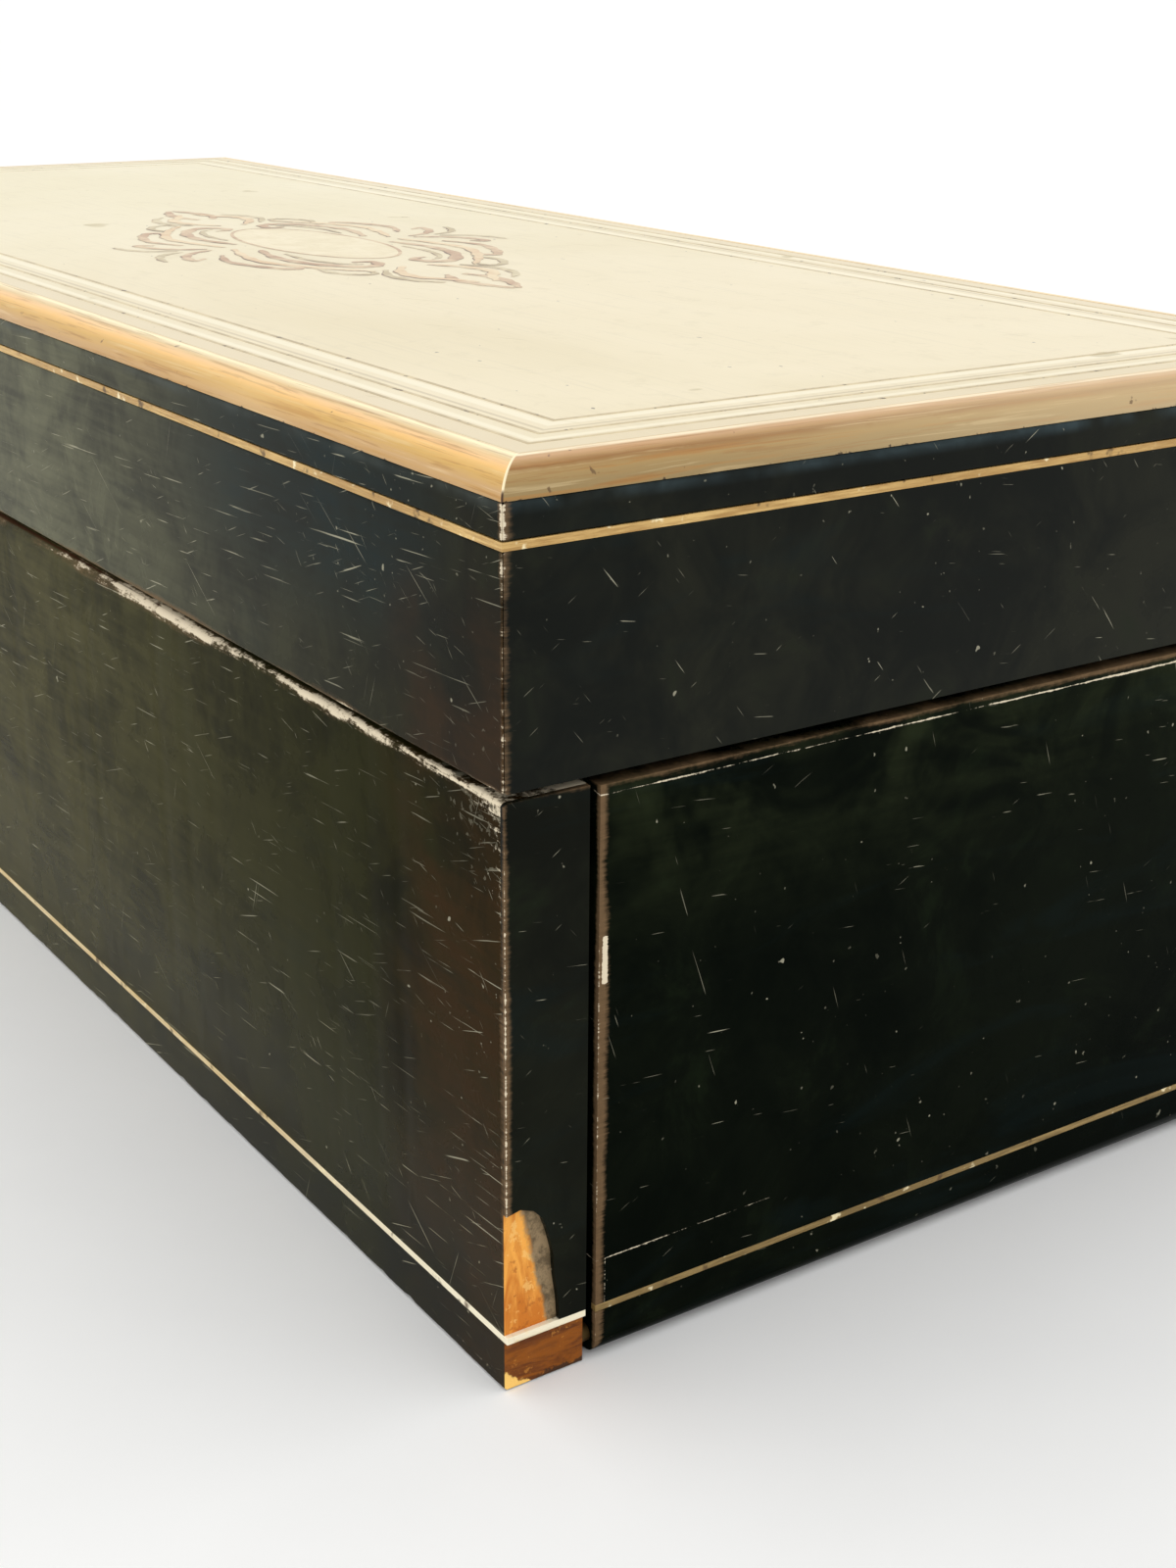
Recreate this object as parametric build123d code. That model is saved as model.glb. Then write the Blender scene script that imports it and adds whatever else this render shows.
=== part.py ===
from build123d import *
import math
import os

os.makedirs("parts", exist_ok=True)

# Wind-up cylinder music box in a veneered case.  Millimetres.
# Origin: centre of the case's footprint, on the surface it stands on.
# +X runs to the end with the drop-down flap, -Y to the front, +Z up.

# ---- driving dimensions -------------------------------------------------

length = 465.0          # case, left end to flap end
depth = 182.0           # case, front to back
height = 140.0          # floor to the top panel
base_top = 94.2         # top edge of the lower case
lid_bottom = 95.4       # lower edge of the lid
board = 14.0            # front, back and left end boards
flap_thick = 12.0
flap_side_gap = 1.75
rail = 12.0             # lid rails
moulding_high = 4.5
moulding_wide = 6.5
string_wide = 1.2       # inlaid boxwood lines
string_deep = 1.2
base_string_z = 9.0
lid_string_z = 129.6

half_l = length / 2
half_d = depth / 2
inner_y = half_d - board            # inside faces of front and back boards
running = 0.05                      # radial clearance of pivots in bores
screw_play = 0.03                   # radial clearance of screws in their holes

floor_low = 0.0                     # bottom board
floor_top = 11.0
bed_low = 16.0                      # movement bedplate
bed_top = 20.5

string_z0 = base_string_z - string_wide / 2
string_z1 = base_string_z + string_wide / 2
lid_string_z0 = lid_string_z - string_wide / 2
lid_string_z1 = lid_string_z + string_wide / 2

cylinder_y = 14.0                   # axis of the pinned cylinder
cylinder_z = 60.0
cylinder_r = 23.0
cylinder_x0 = -134.0
cylinder_x1 = 112.0


# ---- small shape makers -------------------------------------------------

def block(x0, x1, y0, y1, z0, z1):
    solid = Box(x1 - x0, y1 - y0, z1 - z0)
    return Pos((x0 + x1) / 2, (y0 + y1) / 2, (z0 + z1) / 2) * solid


def rod_x(radius, x0, x1, y, z):
    return Pos((x0 + x1) / 2, y, z) * Rot(0, 90, 0) * Cylinder(radius, x1 - x0)


def rod_y(radius, y0, y1, x, z):
    return Pos(x, (y0 + y1) / 2, z) * Rot(90, 0, 0) * Cylinder(radius, y1 - y0)


def rod_z(radius, z0, z1, x, y):
    return Pos(x, y, (z0 + z1) / 2) * Cylinder(radius, z1 - z0)


def plate_yz(points, x0, x1):
    """Flat plate standing across X, its outline given as (y, z) points."""
    outline = make_face(Polyline(*points, close=True))
    return Pos(x0, 0, 0) * extrude(Plane.YZ * outline, amount=x1 - x0)


def plate_xy(points, z0, z1):
    """Flat plate lying level, its outline given as (x, y) points."""
    outline = make_face(Polyline(*points, close=True))
    return Pos(0, 0, z0) * extrude(outline, amount=z1 - z0)


def gear(teeth, module, x0, x1, y, z, tooth_at):
    """Spur wheel on an X axis with a tooth centred at the angle tooth_at."""
    step = 360.0 / teeth
    tip_r = module * (teeth / 2 + 0.85)
    root_r = module * (teeth / 2 - 1.15)
    shape = ((root_r, -0.29), (tip_r, -0.11), (tip_r, 0.11), (root_r, 0.29))
    points = []
    for i in range(teeth):
        for radius, side in shape:
            a = math.radians(tooth_at + (i + side) * step)
            points.append((y + radius * math.cos(a), z + radius * math.sin(a)))
    return plate_yz(points, x0, x1)


def screw_z(shank_r, head_r, z0, head_z0, head_z1, x, y):
    """Slotted cheese-head screw standing upright."""
    slot = block(x - head_r, x + head_r, y - 0.4, y + 0.4, head_z1 - 0.8, head_z1 + 1)
    head = rod_z(head_r, head_z0, head_z1, x, y) - slot
    return head + rod_z(shank_r - screw_play, z0, head_z0, x, y)


def group(shapes):
    return Compound(children=[shape for shape in shapes])


def save(shape, node):
    export_step(shape, "parts/" + node + ".step")


# ---- lid hinge and flap hinge lines -------------------------------------

lid_axis_y = half_d + 1.5
lid_axis_z = (base_top + lid_bottom) / 2
hinge_pin_r = 1.0
knuckle_r = 2.2
knuckle_room = 2.6
hinge_xs = (-150.0, 150.0)
hinge_half = 20.0
leaf_thick = 1.0
leaf_y0 = 81.0
leaf_y1 = lid_axis_y - knuckle_room
knuckle_half = 6.5                  # the lid's knuckle; the base has one each side
knuckle_gap = 0.3

flap_edge = 3.0                     # flap axis to its outer face and lower edge
flap_low = 0.4
flap_axis_x = half_l - flap_edge
flap_axis_z = flap_low + flap_edge
flap_pin_r = 1.5
flap_pin_out = 83.0                 # pins run from here in the boards ...
flap_pin_in = 66.3                  # ... to here inside the flap


def hinge_room(z0, z1):
    """Wood cut away for both hinges in one edge."""
    rooms = []
    for x in hinge_xs:
        x0 = x - hinge_half
        x1 = x + hinge_half
        rooms.append(block(x0, x1, leaf_y0, half_d + 1, z0, z1))
        rooms.append(rod_x(knuckle_room, x0 - 0.4, x1 + 0.4, lid_axis_y, lid_axis_z))
    return rooms


# ---- lower case ---------------------------------------------------------

lock_x = 22.0                       # half width of the lock
lock_y0 = -half_d + 6.0
lock_z0 = 70.0
keyhole_z = 78.0
plate_r = 7.0                       # keyhole plate
plate_deep = 0.8


def keyhole(y0, y1):
    """Round hole for the key's stem with a slot below it for the bit."""
    return rod_y(2.2, y0, y1, 0, keyhole_z) + block(-1.1, 1.1, y0, y1, keyhole_z - 5, keyhole_z)


front_string = block(-half_l, half_l, -half_d, -half_d + string_deep, string_z0, string_z1)
end_string = block(half_l - string_deep, half_l, -half_d + string_deep, -inner_y, string_z0, string_z1)
front_board = block(-half_l, half_l, -half_d, -inner_y, 0, base_top)
front_board -= front_string + end_string
front_board -= block(-lock_x, lock_x, lock_y0, -inner_y, lock_z0, base_top)
front_board -= rod_y(plate_r, -half_d, -half_d + plate_deep, 0, keyhole_z)
front_board -= keyhole(-half_d, lock_y0)
front_board -= rod_y(flap_pin_r, -flap_pin_out, -inner_y, flap_axis_x, flap_axis_z)
save(front_board, "front_board")

back_board = block(-half_l, half_l, inner_y, half_d, 0, base_top)
back_string = block(-half_l, half_l, half_d - string_deep, half_d, string_z0, string_z1)
back_board -= back_string
back_board -= rod_y(flap_pin_r, inner_y, flap_pin_out, flap_axis_x, flap_axis_z)
for room in hinge_room(base_top - leaf_thick, base_top + 1):
    back_board -= room
save(back_board, "back_board")

left_board = block(-half_l, -half_l + board, -inner_y, inner_y, 0, base_top)
left_string = block(-half_l, -half_l + string_deep, -inner_y, inner_y, string_z0, string_z1)
left_board -= left_string
save(left_board, "left_end_board")
save(group([front_string, end_string, back_string, left_string]), "base_strings")

bottom_x1 = flap_axis_x - 10.0      # clear of the flap's inner corner as it turns
save(block(-half_l + board, bottom_x1, -inner_y, inner_y, floor_low, floor_top), "bottom_board")

batten_x0 = -200.0
batten_x1 = 194.0
batten_y = 56.0
bed_screw_at = ((-188, -63), (-188, 63), (170, -63), (170, 63))
bed_screw_r = 2.5
battens = []
for y0 in (-inner_y, batten_y):
    batten = block(batten_x0, batten_x1, y0, y0 + inner_y - batten_y, floor_top, bed_low)
    for x, y in bed_screw_at:
        batten -= rod_z(bed_screw_r, floor_top, bed_low, x, y)
    battens.append(batten)
save(group(battens), "bedplate_battens")

# ---- end flap on its two pivot pins -------------------------------------

flap_x0 = half_l - flap_thick
flap_y = inner_y - flap_side_gap
flap_top = base_top - 0.4
flap = block(flap_x0, half_l, -flap_y, flap_y, flap_low, flap_top)
corner = block(flap_axis_x, half_l + 1, -flap_y, flap_y, flap_low - 1, flap_axis_z)
corner -= rod_y(flap_edge, -flap_y - 1, flap_y + 1, flap_axis_x, flap_axis_z)
flap -= corner
flap_bore_in = flap_pin_in - 0.3
flap -= rod_y(flap_pin_r + running, -flap_y, -flap_bore_in, flap_axis_x, flap_axis_z)
flap -= rod_y(flap_pin_r + running, flap_bore_in, flap_y, flap_axis_x, flap_axis_z)
flap_string = block(half_l - string_deep, half_l, -flap_y, flap_y, string_z0, string_z1)
save(flap - flap_string, "end_flap")
save(flap_string, "flap_string")
save(group([
    rod_y(flap_pin_r, -flap_pin_out, -flap_pin_in, flap_axis_x, flap_axis_z),
    rod_y(flap_pin_r, flap_pin_in, flap_pin_out, flap_axis_x, flap_axis_z),
]), "flap_pivot_pins")

# ---- lid ----------------------------------------------------------------

rail_top = height - moulding_high
rail_in_y = half_d - rail
string_in_y = half_d - string_deep

striker_x0 = 4.0
striker_x1 = 24.0
striker_y0 = -85.0
striker_thick = 1.2


def lid_rail(run, across):
    """One rail along X, mitred at both ends; its outer face is at -across.
    The string's groove runs along it and on round both of its ends."""
    r = run / 2
    bar = plate_xy([(-r, -across), (r, -across), (r - rail, -across + rail),
                    (-r + rail, -across + rail)], lid_bottom, rail_top)
    bar -= block(-r - 1, r + 1, -across - 1, -across + string_deep, lid_string_z0, lid_string_z1)
    for x0 in (-r, r - string_deep):
        bar -= block(x0, x0 + string_deep, -across, -across + rail, lid_string_z0, lid_string_z1)
    return bar


lid_front = lid_rail(length, half_d)
lid_back = Rot(0, 0, 180) * lid_front
lid_end = lid_rail(depth, half_l)
lid_front -= block(striker_x0, striker_x1, striker_y0, -rail_in_y, lid_bottom, lid_bottom + striker_thick)
save(lid_front, "lid_front_rail")

for room in hinge_room(lid_bottom - 1, lid_bottom + leaf_thick):
    lid_back -= room
save(lid_back, "lid_back_rail")
save(group([Rot(0, 0, 90) * lid_end, Rot(0, 0, -90) * lid_end]), "lid_end_rails")

save(group([
    block(-half_l, half_l, -half_d, -half_d + string_deep, lid_string_z0, lid_string_z1),
    block(-half_l, half_l, half_d - string_deep, half_d, lid_string_z0, lid_string_z1),
    block(-half_l, -half_l + string_deep, -string_in_y, string_in_y, lid_string_z0, lid_string_z1),
    block(half_l - string_deep, half_l, -string_in_y, string_in_y, lid_string_z0, lid_string_z1),
]), "lid_strings")

# quarter-round edge moulding, mitred at the corners
curve_wide = 5.9
profile_lines = [
    Line((0, 0), (moulding_wide, 0)),
    Line((moulding_wide, 0), (moulding_wide, moulding_high)),
    Line((moulding_wide, moulding_high), (curve_wide, moulding_high)),
    EllipticalCenterArc((curve_wide, 0), curve_wide, moulding_high, start_angle=90, arc_size=90),
]
profile = make_face(Curve() + profile_lines)


def moulding(run, across):
    """One edge moulding along X; its outer face is at -across."""
    bar = extrude(Plane.YZ * profile, amount=run)
    bar = Pos(-run / 2, -across, rail_top) * bar
    r = run / 2
    inner = moulding_wide
    mitre = plate_xy([(-r, -across), (r, -across), (r - inner, -across + inner),
                      (-r + inner, -across + inner)], rail_top - 1, height + 1)
    return bar & mitre


long_moulding = moulding(length, half_d)
end_moulding = moulding(depth, half_l)
save(group([long_moulding, Rot(0, 0, 180) * long_moulding]), "lid_long_mouldings")
save(group([Rot(0, 0, 90) * end_moulding, Rot(0, 0, -90) * end_moulding]), "lid_end_mouldings")

# top panel with its inlaid lines and the marquetry medallion
panel_x = half_l - moulding_wide
panel_y = half_d - moulding_wide
inlay_deep = 0.6
inlay_z0 = height - inlay_deep
line_insets = (10.8, 15.6, 22.4)    # from the lid's edge
line_wide = 0.8


def border_line(inset, wide):
    x = half_l - inset
    y = half_d - inset
    frame = block(-x, x, -y, y, inlay_z0, height)
    return frame - block(-x + wide, x - wide, -y + wide, y - wide, inlay_z0 - 1, height + 1)


def oval(half_x, half_y, x, y):
    return Pos(x, y, inlay_z0) * extrude(Ellipse(half_x, half_y), amount=inlay_deep)


medal_x = 4.0
field = oval(32.5, 13.5, medal_x, 0)
strapwork = oval(50, 33, medal_x, 0) - field
finials = [
    oval(15, 7, medal_x - 65.5, 0),
    oval(16, 8, medal_x + 66.5, 0),
    oval(16, 6, medal_x, 39.5),
    oval(16, 6, medal_x, -39.5),
]
lines = [border_line(inset, line_wide) for inset in line_insets]
panel = block(-panel_x, panel_x, -panel_y, panel_y, rail_top, height)
for inlay in [field, strapwork] + finials + lines:
    panel -= inlay
save(panel, "lid_top_panel")
save(group(lines), "top_border_lines")
save(group([field, strapwork] + finials), "marquetry_medallion")

# ---- lid hinges ---------------------------------------------------------


def hinge_leaf(x, for_lid):
    z0 = lid_bottom if for_lid else base_top - leaf_thick
    z1 = z0 + leaf_thick
    leaf = block(x - hinge_half, x + hinge_half, leaf_y0, leaf_y1, z0, z1)
    if for_lid:
        spans = [(x - knuckle_half, x + knuckle_half)]
    else:
        near = knuckle_half + knuckle_gap
        spans = [(x - hinge_half, x - near), (x + near, x + hinge_half)]
    for x0, x1 in spans:
        leaf += block(x0, x1, leaf_y1 - 1, lid_axis_y, z0, z1)
        leaf += rod_x(knuckle_r, x0, x1, lid_axis_y, lid_axis_z)
    bore = hinge_pin_r + (running if for_lid else 0)
    leaf -= rod_x(bore, x - hinge_half - 1, x + hinge_half + 1, lid_axis_y, lid_axis_z)
    return leaf


save(group([hinge_leaf(x, False) for x in hinge_xs]), "hinge_base_leaves")
save(group([hinge_leaf(x, True) for x in hinge_xs]), "hinge_lid_leaves")
save(group([
    rod_x(hinge_pin_r, x - hinge_half, x + hinge_half, lid_axis_y, lid_axis_z) for x in hinge_xs
]), "hinge_pins")

# ---- lock: case, sliding bolt, keyhole plate and the lid's striker ------

bolt_x0 = -14.0                     # thrown back; it slides 10 mm to the right
bolt_x1 = 7.0
bolt_y0 = -81.5
bolt_y1 = -80.1
bolt_z0 = 86.0
bolt_z1 = 90.0
staple_x0 = 11.0
staple_x1 = 17.0
staple_y0 = bolt_y0 - 0.9
staple_y1 = bolt_y1 + 0.9
staple_wall = 0.5
lock_wall = 2.0

room_y0 = staple_y0 - 1.0           # the hollow inside the lock case
room_y1 = staple_y1 + 1.0
lock = block(-lock_x, lock_x, lock_y0, -inner_y, lock_z0, base_top)
lock -= block(-lock_x + lock_wall, lock_x - lock_wall, room_y0, room_y1, bolt_z0 - 4, base_top - lock_wall)
lock -= block(staple_x0 - 2, staple_x1 + 2, room_y0, room_y1, base_top - lock_wall - 0.2, base_top)
lock -= rod_y(2.2, lock_y0, lock_y0 + 4, 0, keyhole_z)
save(lock, "lock_case")
save(block(bolt_x0, bolt_x1, bolt_y0, bolt_y1, bolt_z0, bolt_z1), "lock_bolt")

staple = block(staple_x0, staple_x1, staple_y0, staple_y1, bolt_z0 - 2, lid_bottom + 0.5)
staple -= block(staple_x0 - 1, staple_x1 + 1, staple_y0 + staple_wall, staple_y1 - staple_wall,
                bolt_z0 - 0.6, bolt_z1 + 0.6)
striker = staple + block(striker_x0, striker_x1, striker_y0, -rail_in_y,
                         lid_bottom, lid_bottom + striker_thick)
save(striker, "lock_striker")

keyhole_plate = rod_y(plate_r, -half_d, -half_d + plate_deep, 0, keyhole_z)
save(keyhole_plate - keyhole(-half_d - 1, -half_d + 2), "keyhole_plate")

# ---- gear train layout --------------------------------------------------

great_teeth = 72                    # on the spring barrel
pinion_teeth = 20                   # on the cylinder's arbor
drive_module = 0.8
drive_centres = drive_module * (great_teeth + pinion_teeth) / 2
barrel_angle = 192.0                # from the cylinder's axis to the barrel's
barrel_y = cylinder_y + drive_centres * math.cos(math.radians(barrel_angle))
barrel_z = cylinder_z + drive_centres * math.sin(math.radians(barrel_angle))

wheel0_teeth = 80                   # on the cylinder's other end
pinion1_teeth = 16
train0_module = 0.6
train0_centres = train0_module * (wheel0_teeth + pinion1_teeth) / 2
train0_angle = 200.0
arbor1_y = cylinder_y + train0_centres * math.cos(math.radians(train0_angle))
arbor1_z = cylinder_z + train0_centres * math.sin(math.radians(train0_angle))

wheel1_teeth = 48
pinion2_teeth = 12
train1_module = 0.5
train1_centres = train1_module * (wheel1_teeth + pinion2_teeth) / 2
arbor2_y = arbor1_y - train1_centres
arbor2_z = arbor1_z

wheel2_teeth = 20
worm_module = 0.7
worm_pitch_r = 3.0
worm_x = -166.0
worm_y = arbor2_y - worm_module * wheel2_teeth / 2 - worm_pitch_r

# ---- bedplate -----------------------------------------------------------

bed_x0 = -196.0
bed_x1 = 192.0
bed_y = 70.0
bedplate = block(bed_x0, bed_x1, -bed_y, bed_y, bed_low, bed_top)
for x, y in bed_screw_at:
    bedplate -= rod_z(bed_screw_r, bed_low, bed_top, x, y)

# ---- cylinder with its arbor, wheel and pinion --------------------------

arbor_r = 4.0
pivot_r = 2.5
shell_thick = 1.5
end_cap = 3.0
shell = rod_x(cylinder_r, cylinder_x0, cylinder_x1, cylinder_y, cylinder_z)
shell -= rod_x(cylinder_r - shell_thick, cylinder_x0 - 1, cylinder_x1 + 1, cylinder_y, cylinder_z)
save(shell, "cylinder_shell")
drive_pin_r = 1.5
drive_pin_y = cylinder_y + 14
caps = []
for x0 in (cylinder_x0, cylinder_x1 - end_cap):
    x1 = x0 + end_cap
    cap = rod_x(cylinder_r - shell_thick, x0, x1, cylinder_y, cylinder_z)
    cap -= rod_x(arbor_r + running, x0 - 1, x1 + 1, cylinder_y, cylinder_z)
    cap -= rod_x(drive_pin_r + running, x0 - 1, x1 + 1, drive_pin_y, cylinder_z)
    caps.append(cap)
save(group(caps), "cylinder_end_caps")

arbor = rod_x(arbor_r, -145, 129, cylinder_y, cylinder_z)
arbor += rod_x(pivot_r, -152.5, 138, cylinder_y, cylinder_z)
save(arbor, "cylinder_arbor")
wheel0_x0 = -141.5
wheel0_x1 = -139.0
wheel0 = gear(wheel0_teeth, train0_module, wheel0_x0, wheel0_x1, cylinder_y, cylinder_z, train0_angle)
wheel0 -= rod_x(arbor_r, wheel0_x0 - 1, wheel0_x1 + 1, cylinder_y, cylinder_z)
wheel0 -= rod_x(drive_pin_r, wheel0_x0 - 1, wheel0_x1 + 1, drive_pin_y, cylinder_z)
drive_pin = rod_x(drive_pin_r, wheel0_x0, cylinder_x0 + 8, drive_pin_y, cylinder_z)
save(group([wheel0, drive_pin]), "cylinder_wheel")
pinion_x0 = 119.5
pinion_x1 = 127.5
drive_pinion = gear(pinion_teeth, drive_module, pinion_x0, pinion_x1, cylinder_y, cylinder_z, barrel_angle)
drive_pinion -= rod_x(arbor_r, pinion_x0 - 1, pinion_x1 + 1, cylinder_y, cylinder_z)
save(drive_pinion, "cylinder_pinion")

bridge_y0 = 7.5
bridge_y1 = 20.5
bridge_foot_y1 = 40.0
bridge_shoulder = 62.0              # where its round top begins
foot_high = 5.0
foot_screw_r = 2.0
foot_head_r = 3.6
foot_head_high = 2.0
bridges = []
bridge_screws = []


def foot_screw(x, y):
    head_low = bed_top + foot_high
    return screw_z(foot_screw_r, foot_head_r, bed_low, head_low, head_low + foot_head_high, x, y)


for x0, x1 in ((-151.5, -146.5), (131.0, 137.0)):
    bridge = block(x0, x1, bridge_y0, bridge_y1, bed_top, bridge_shoulder)
    bridge += rod_x((bridge_y1 - bridge_y0) / 2, x0, x1, cylinder_y, bridge_shoulder)
    mid = (x0 + x1) / 2
    bridge += block(mid - 6, mid + 6, bridge_y0, bridge_foot_y1, bed_top, bed_top + foot_high)
    bridge -= rod_x(pivot_r + running, x0 - 1, x1 + 1, cylinder_y, cylinder_z)
    for y in (26, 35):
        bridge -= rod_z(foot_screw_r, bed_top, bed_top + foot_high + 1, mid, y)
        bedplate -= rod_z(foot_screw_r, bed_low, bed_top, mid, y)
        bridge_screws.append(foot_screw(mid, y))
    bridges.append(bridge)
save(group(bridges), "cylinder_bridges")

# ---- comb ---------------------------------------------------------------

comb_x0 = -130.0
comb_x1 = 108.0
comb_back = -62.0
comb_tip = cylinder_y - cylinder_r - 1.0
comb_z0 = 57.5
comb_z1 = 60.0
comb_teeth = 68
slot_wide = 0.5
tooth_root = -40.0                  # longest tooth, at the bass end
shortening = 14.0                   # how much shorter the treble end's teeth are
thinned = 1.3                       # ground away under the teeth
comb_base_low = 49.5
comb_front = -42.0
comb_feet = (-112.0, -12.0, 88.0)
comb_screw_r = 2.5
comb_head_r = 4.2
comb_head_high = 2.4
comb_hole_low = comb_base_low + 1.0
comb_screw_xs = [comb_x0 + 14 + i * 35 for i in range(7)]
comb_screw_y = -52.0
comb_pitch = (comb_x1 - comb_x0) / comb_teeth

comb = block(comb_x0, comb_x1, comb_back, comb_tip, comb_z0, comb_z1)
comb -= block(comb_x0, comb_x1, tooth_root, comb_tip, comb_z0, comb_z0 + thinned)
slots = []
for i in range(1, comb_teeth):
    x = comb_x0 + i * comb_pitch
    root_y = tooth_root + shortening * i / comb_teeth
    slots.append(block(x - slot_wide / 2, x + slot_wide / 2, root_y, comb_tip + 1, comb_z0 - 1, comb_z1 + 1))
comb -= slots
comb_base = block(comb_x0 - 2, comb_x1 + 2, comb_back - 2, comb_front, comb_base_low, comb_z0)
for x in comb_feet:
    comb_base += block(x - 9, x + 9, comb_back - 2, comb_front - 2, bed_top, comb_base_low + 0.5)
comb_screws = []
for x in comb_screw_xs:
    comb -= rod_z(comb_screw_r, comb_z0 - 1, comb_z1 + 1, x, comb_screw_y)
    comb_base -= rod_z(comb_screw_r, comb_hole_low, comb_z0, x, comb_screw_y)
    comb_screws.append(screw_z(comb_screw_r, comb_head_r, comb_hole_low, comb_z1,
                               comb_z1 + comb_head_high, x, comb_screw_y))
save(comb, "comb")
save(comb_base, "comb_base")
save(group(comb_screws), "comb_screws")

# ---- spring barrel, winding arbor, ratchet and click --------------------

great_x0 = 121.5
great_x1 = 125.5
drum_r = 26.5
drum_x1 = 158.0
drum_wall = 2.0
cap_thick = 2.5
half_step = 180.0 / great_teeth
great = gear(great_teeth, drive_module, great_x0, great_x1, barrel_y, barrel_z,
             barrel_angle + 180 + half_step)
great -= rod_x(arbor_r + running, great_x0 - 1, great_x1 + 1, barrel_y, barrel_z)
save(great, "great_wheel")
drum = rod_x(drum_r, great_x1, drum_x1 - cap_thick, barrel_y, barrel_z)
drum -= rod_x(drum_r - drum_wall, great_x1 - 1, drum_x1, barrel_y, barrel_z)
cap = rod_x(drum_r, drum_x1 - cap_thick, drum_x1, barrel_y, barrel_z)
cap -= rod_x(arbor_r + running, drum_x1 - 4, drum_x1 + 1, barrel_y, barrel_z)
save(group([drum, cap]), "barrel_drum")

spring_turns = 6
spring_thick = 0.9
spring_r0 = 10.0
spring_r1 = drum_r - 2.6
spring_steps = 24 * spring_turns
inner_side = []
outer_side = []
for i in range(spring_steps + 1):
    a = 2 * math.pi * i / 24
    r = spring_r0 + (spring_r1 - spring_r0) * i / spring_steps
    inner_side.append((barrel_y + (r - spring_thick / 2) * math.cos(a),
                       barrel_z + (r - spring_thick / 2) * math.sin(a)))
    outer_side.append((barrel_y + (r + spring_thick / 2) * math.cos(a),
                       barrel_z + (r + spring_thick / 2) * math.sin(a)))
save(plate_yz(inner_side + outer_side[::-1], great_x1 + 0.8, drum_x1 - cap_thick - 0.8), "mainspring")

square = 5.6                        # end of the arbor that takes the key
square_x0 = 189.0
square_x1 = 214.0
left_bridge_x0 = 115.5
left_bridge_x1 = 119.5
winding = rod_x(arbor_r, left_bridge_x0 - 0.5, square_x0 + 1, barrel_y, barrel_z)
winding += block(square_x0, square_x1, barrel_y - square / 2, barrel_y + square / 2,
                 barrel_z - square / 2, barrel_z + square / 2)
save(winding, "winding_arbor")

ratchet_x0 = 170.5
ratchet_x1 = 174.0
ratchet_r = 11.0
ratchet_teeth = 18
tooth_deep = 1.8
saw = []
for i in range(ratchet_teeth):
    a = math.radians(360.0 * i / ratchet_teeth)
    saw.append((barrel_y + ratchet_r * math.cos(a), barrel_z + ratchet_r * math.sin(a)))
    root_r = ratchet_r - tooth_deep
    saw.append((barrel_y + root_r * math.cos(a), barrel_z + root_r * math.sin(a)))
ratchet = plate_yz(saw, ratchet_x0, ratchet_x1)
ratchet -= rod_x(arbor_r, ratchet_x0 - 1, ratchet_x1 + 1, barrel_y, barrel_z)
save(ratchet, "ratchet_wheel")

boss_r = 8.0
left_bridge = block(left_bridge_x0, left_bridge_x1, barrel_y - boss_r, barrel_y + boss_r, bed_top, barrel_z)
left_bridge += rod_x(boss_r, left_bridge_x0, left_bridge_x1, barrel_y, barrel_z)
left_bridge -= rod_x(arbor_r + running, left_bridge_x0 - 1, left_bridge_x1 + 1, barrel_y, barrel_z)
save(left_bridge, "barrel_bridge_left")

click_y = barrel_y + 16.0
click_z = barrel_z + 7.6
click_pin_r = 1.5
click_x1 = ratchet_x1 - 0.4
outer_bridge_x0 = 162.0
outer_bridge_x1 = 168.0
outer_bridge = block(outer_bridge_x0, outer_bridge_x1, barrel_y - 12, barrel_y + 21, bed_top, barrel_z + 13)
outer_bridge += block(outer_bridge_x0 - 3, outer_bridge_x1 + 8, barrel_y - 30, barrel_y + 21,
                      bed_top, bed_top + foot_high)
outer_bridge -= rod_x(arbor_r + running, outer_bridge_x0 - 1, outer_bridge_x1 + 1, barrel_y, barrel_z)
outer_bridge -= rod_x(click_pin_r, outer_bridge_x0 - 1, outer_bridge_x1 + 1, click_y, click_z)
for x, y in ((172, barrel_y - 22), (172, barrel_y + 16)):
    outer_bridge -= rod_z(foot_screw_r, bed_top, bed_top + foot_high + 1, x, y)
    bedplate -= rod_z(foot_screw_r, bed_low, bed_top, x, y)
    bridge_screws.append(foot_screw(x, y))
save(outer_bridge, "barrel_bridge_right")
save(group(bridge_screws), "bridge_screws")

nose = math.radians(62.0)
click = plate_yz([
    (click_y - 0.5, click_z - 2.6),
    (barrel_y + (ratchet_r + 0.5) * math.cos(nose), barrel_z + (ratchet_r + 0.5) * math.sin(nose)),
    (barrel_y + (ratchet_r + 2.6) * math.cos(nose), barrel_z + (ratchet_r + 2.6) * math.sin(nose)),
    (click_y + 0.5, click_z + 2.9),
], ratchet_x0, click_x1)
click += rod_x(3.0, ratchet_x0, click_x1, click_y, click_z)
click -= rod_x(click_pin_r + running, ratchet_x0 - 1, ratchet_x1, click_y, click_z)
save(click, "click")
click_screw = rod_x(click_pin_r, outer_bridge_x0, ratchet_x1, click_y, click_z)
click_screw += rod_x(2.8, ratchet_x1, ratchet_x1 + 1.5, click_y, click_z)
coil_x1 = ratchet_x0 - 0.4
coil = rod_x(2.9, outer_bridge_x1, coil_x1, click_y, click_z)
coil -= rod_x(1.9, outer_bridge_x1 - 1, coil_x1 + 1, click_y, click_z)
save(group([click_screw, coil]), "click_screw_and_spring")

# ---- governor: two wheels, a worm and an air-brake fan ------------------

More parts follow.
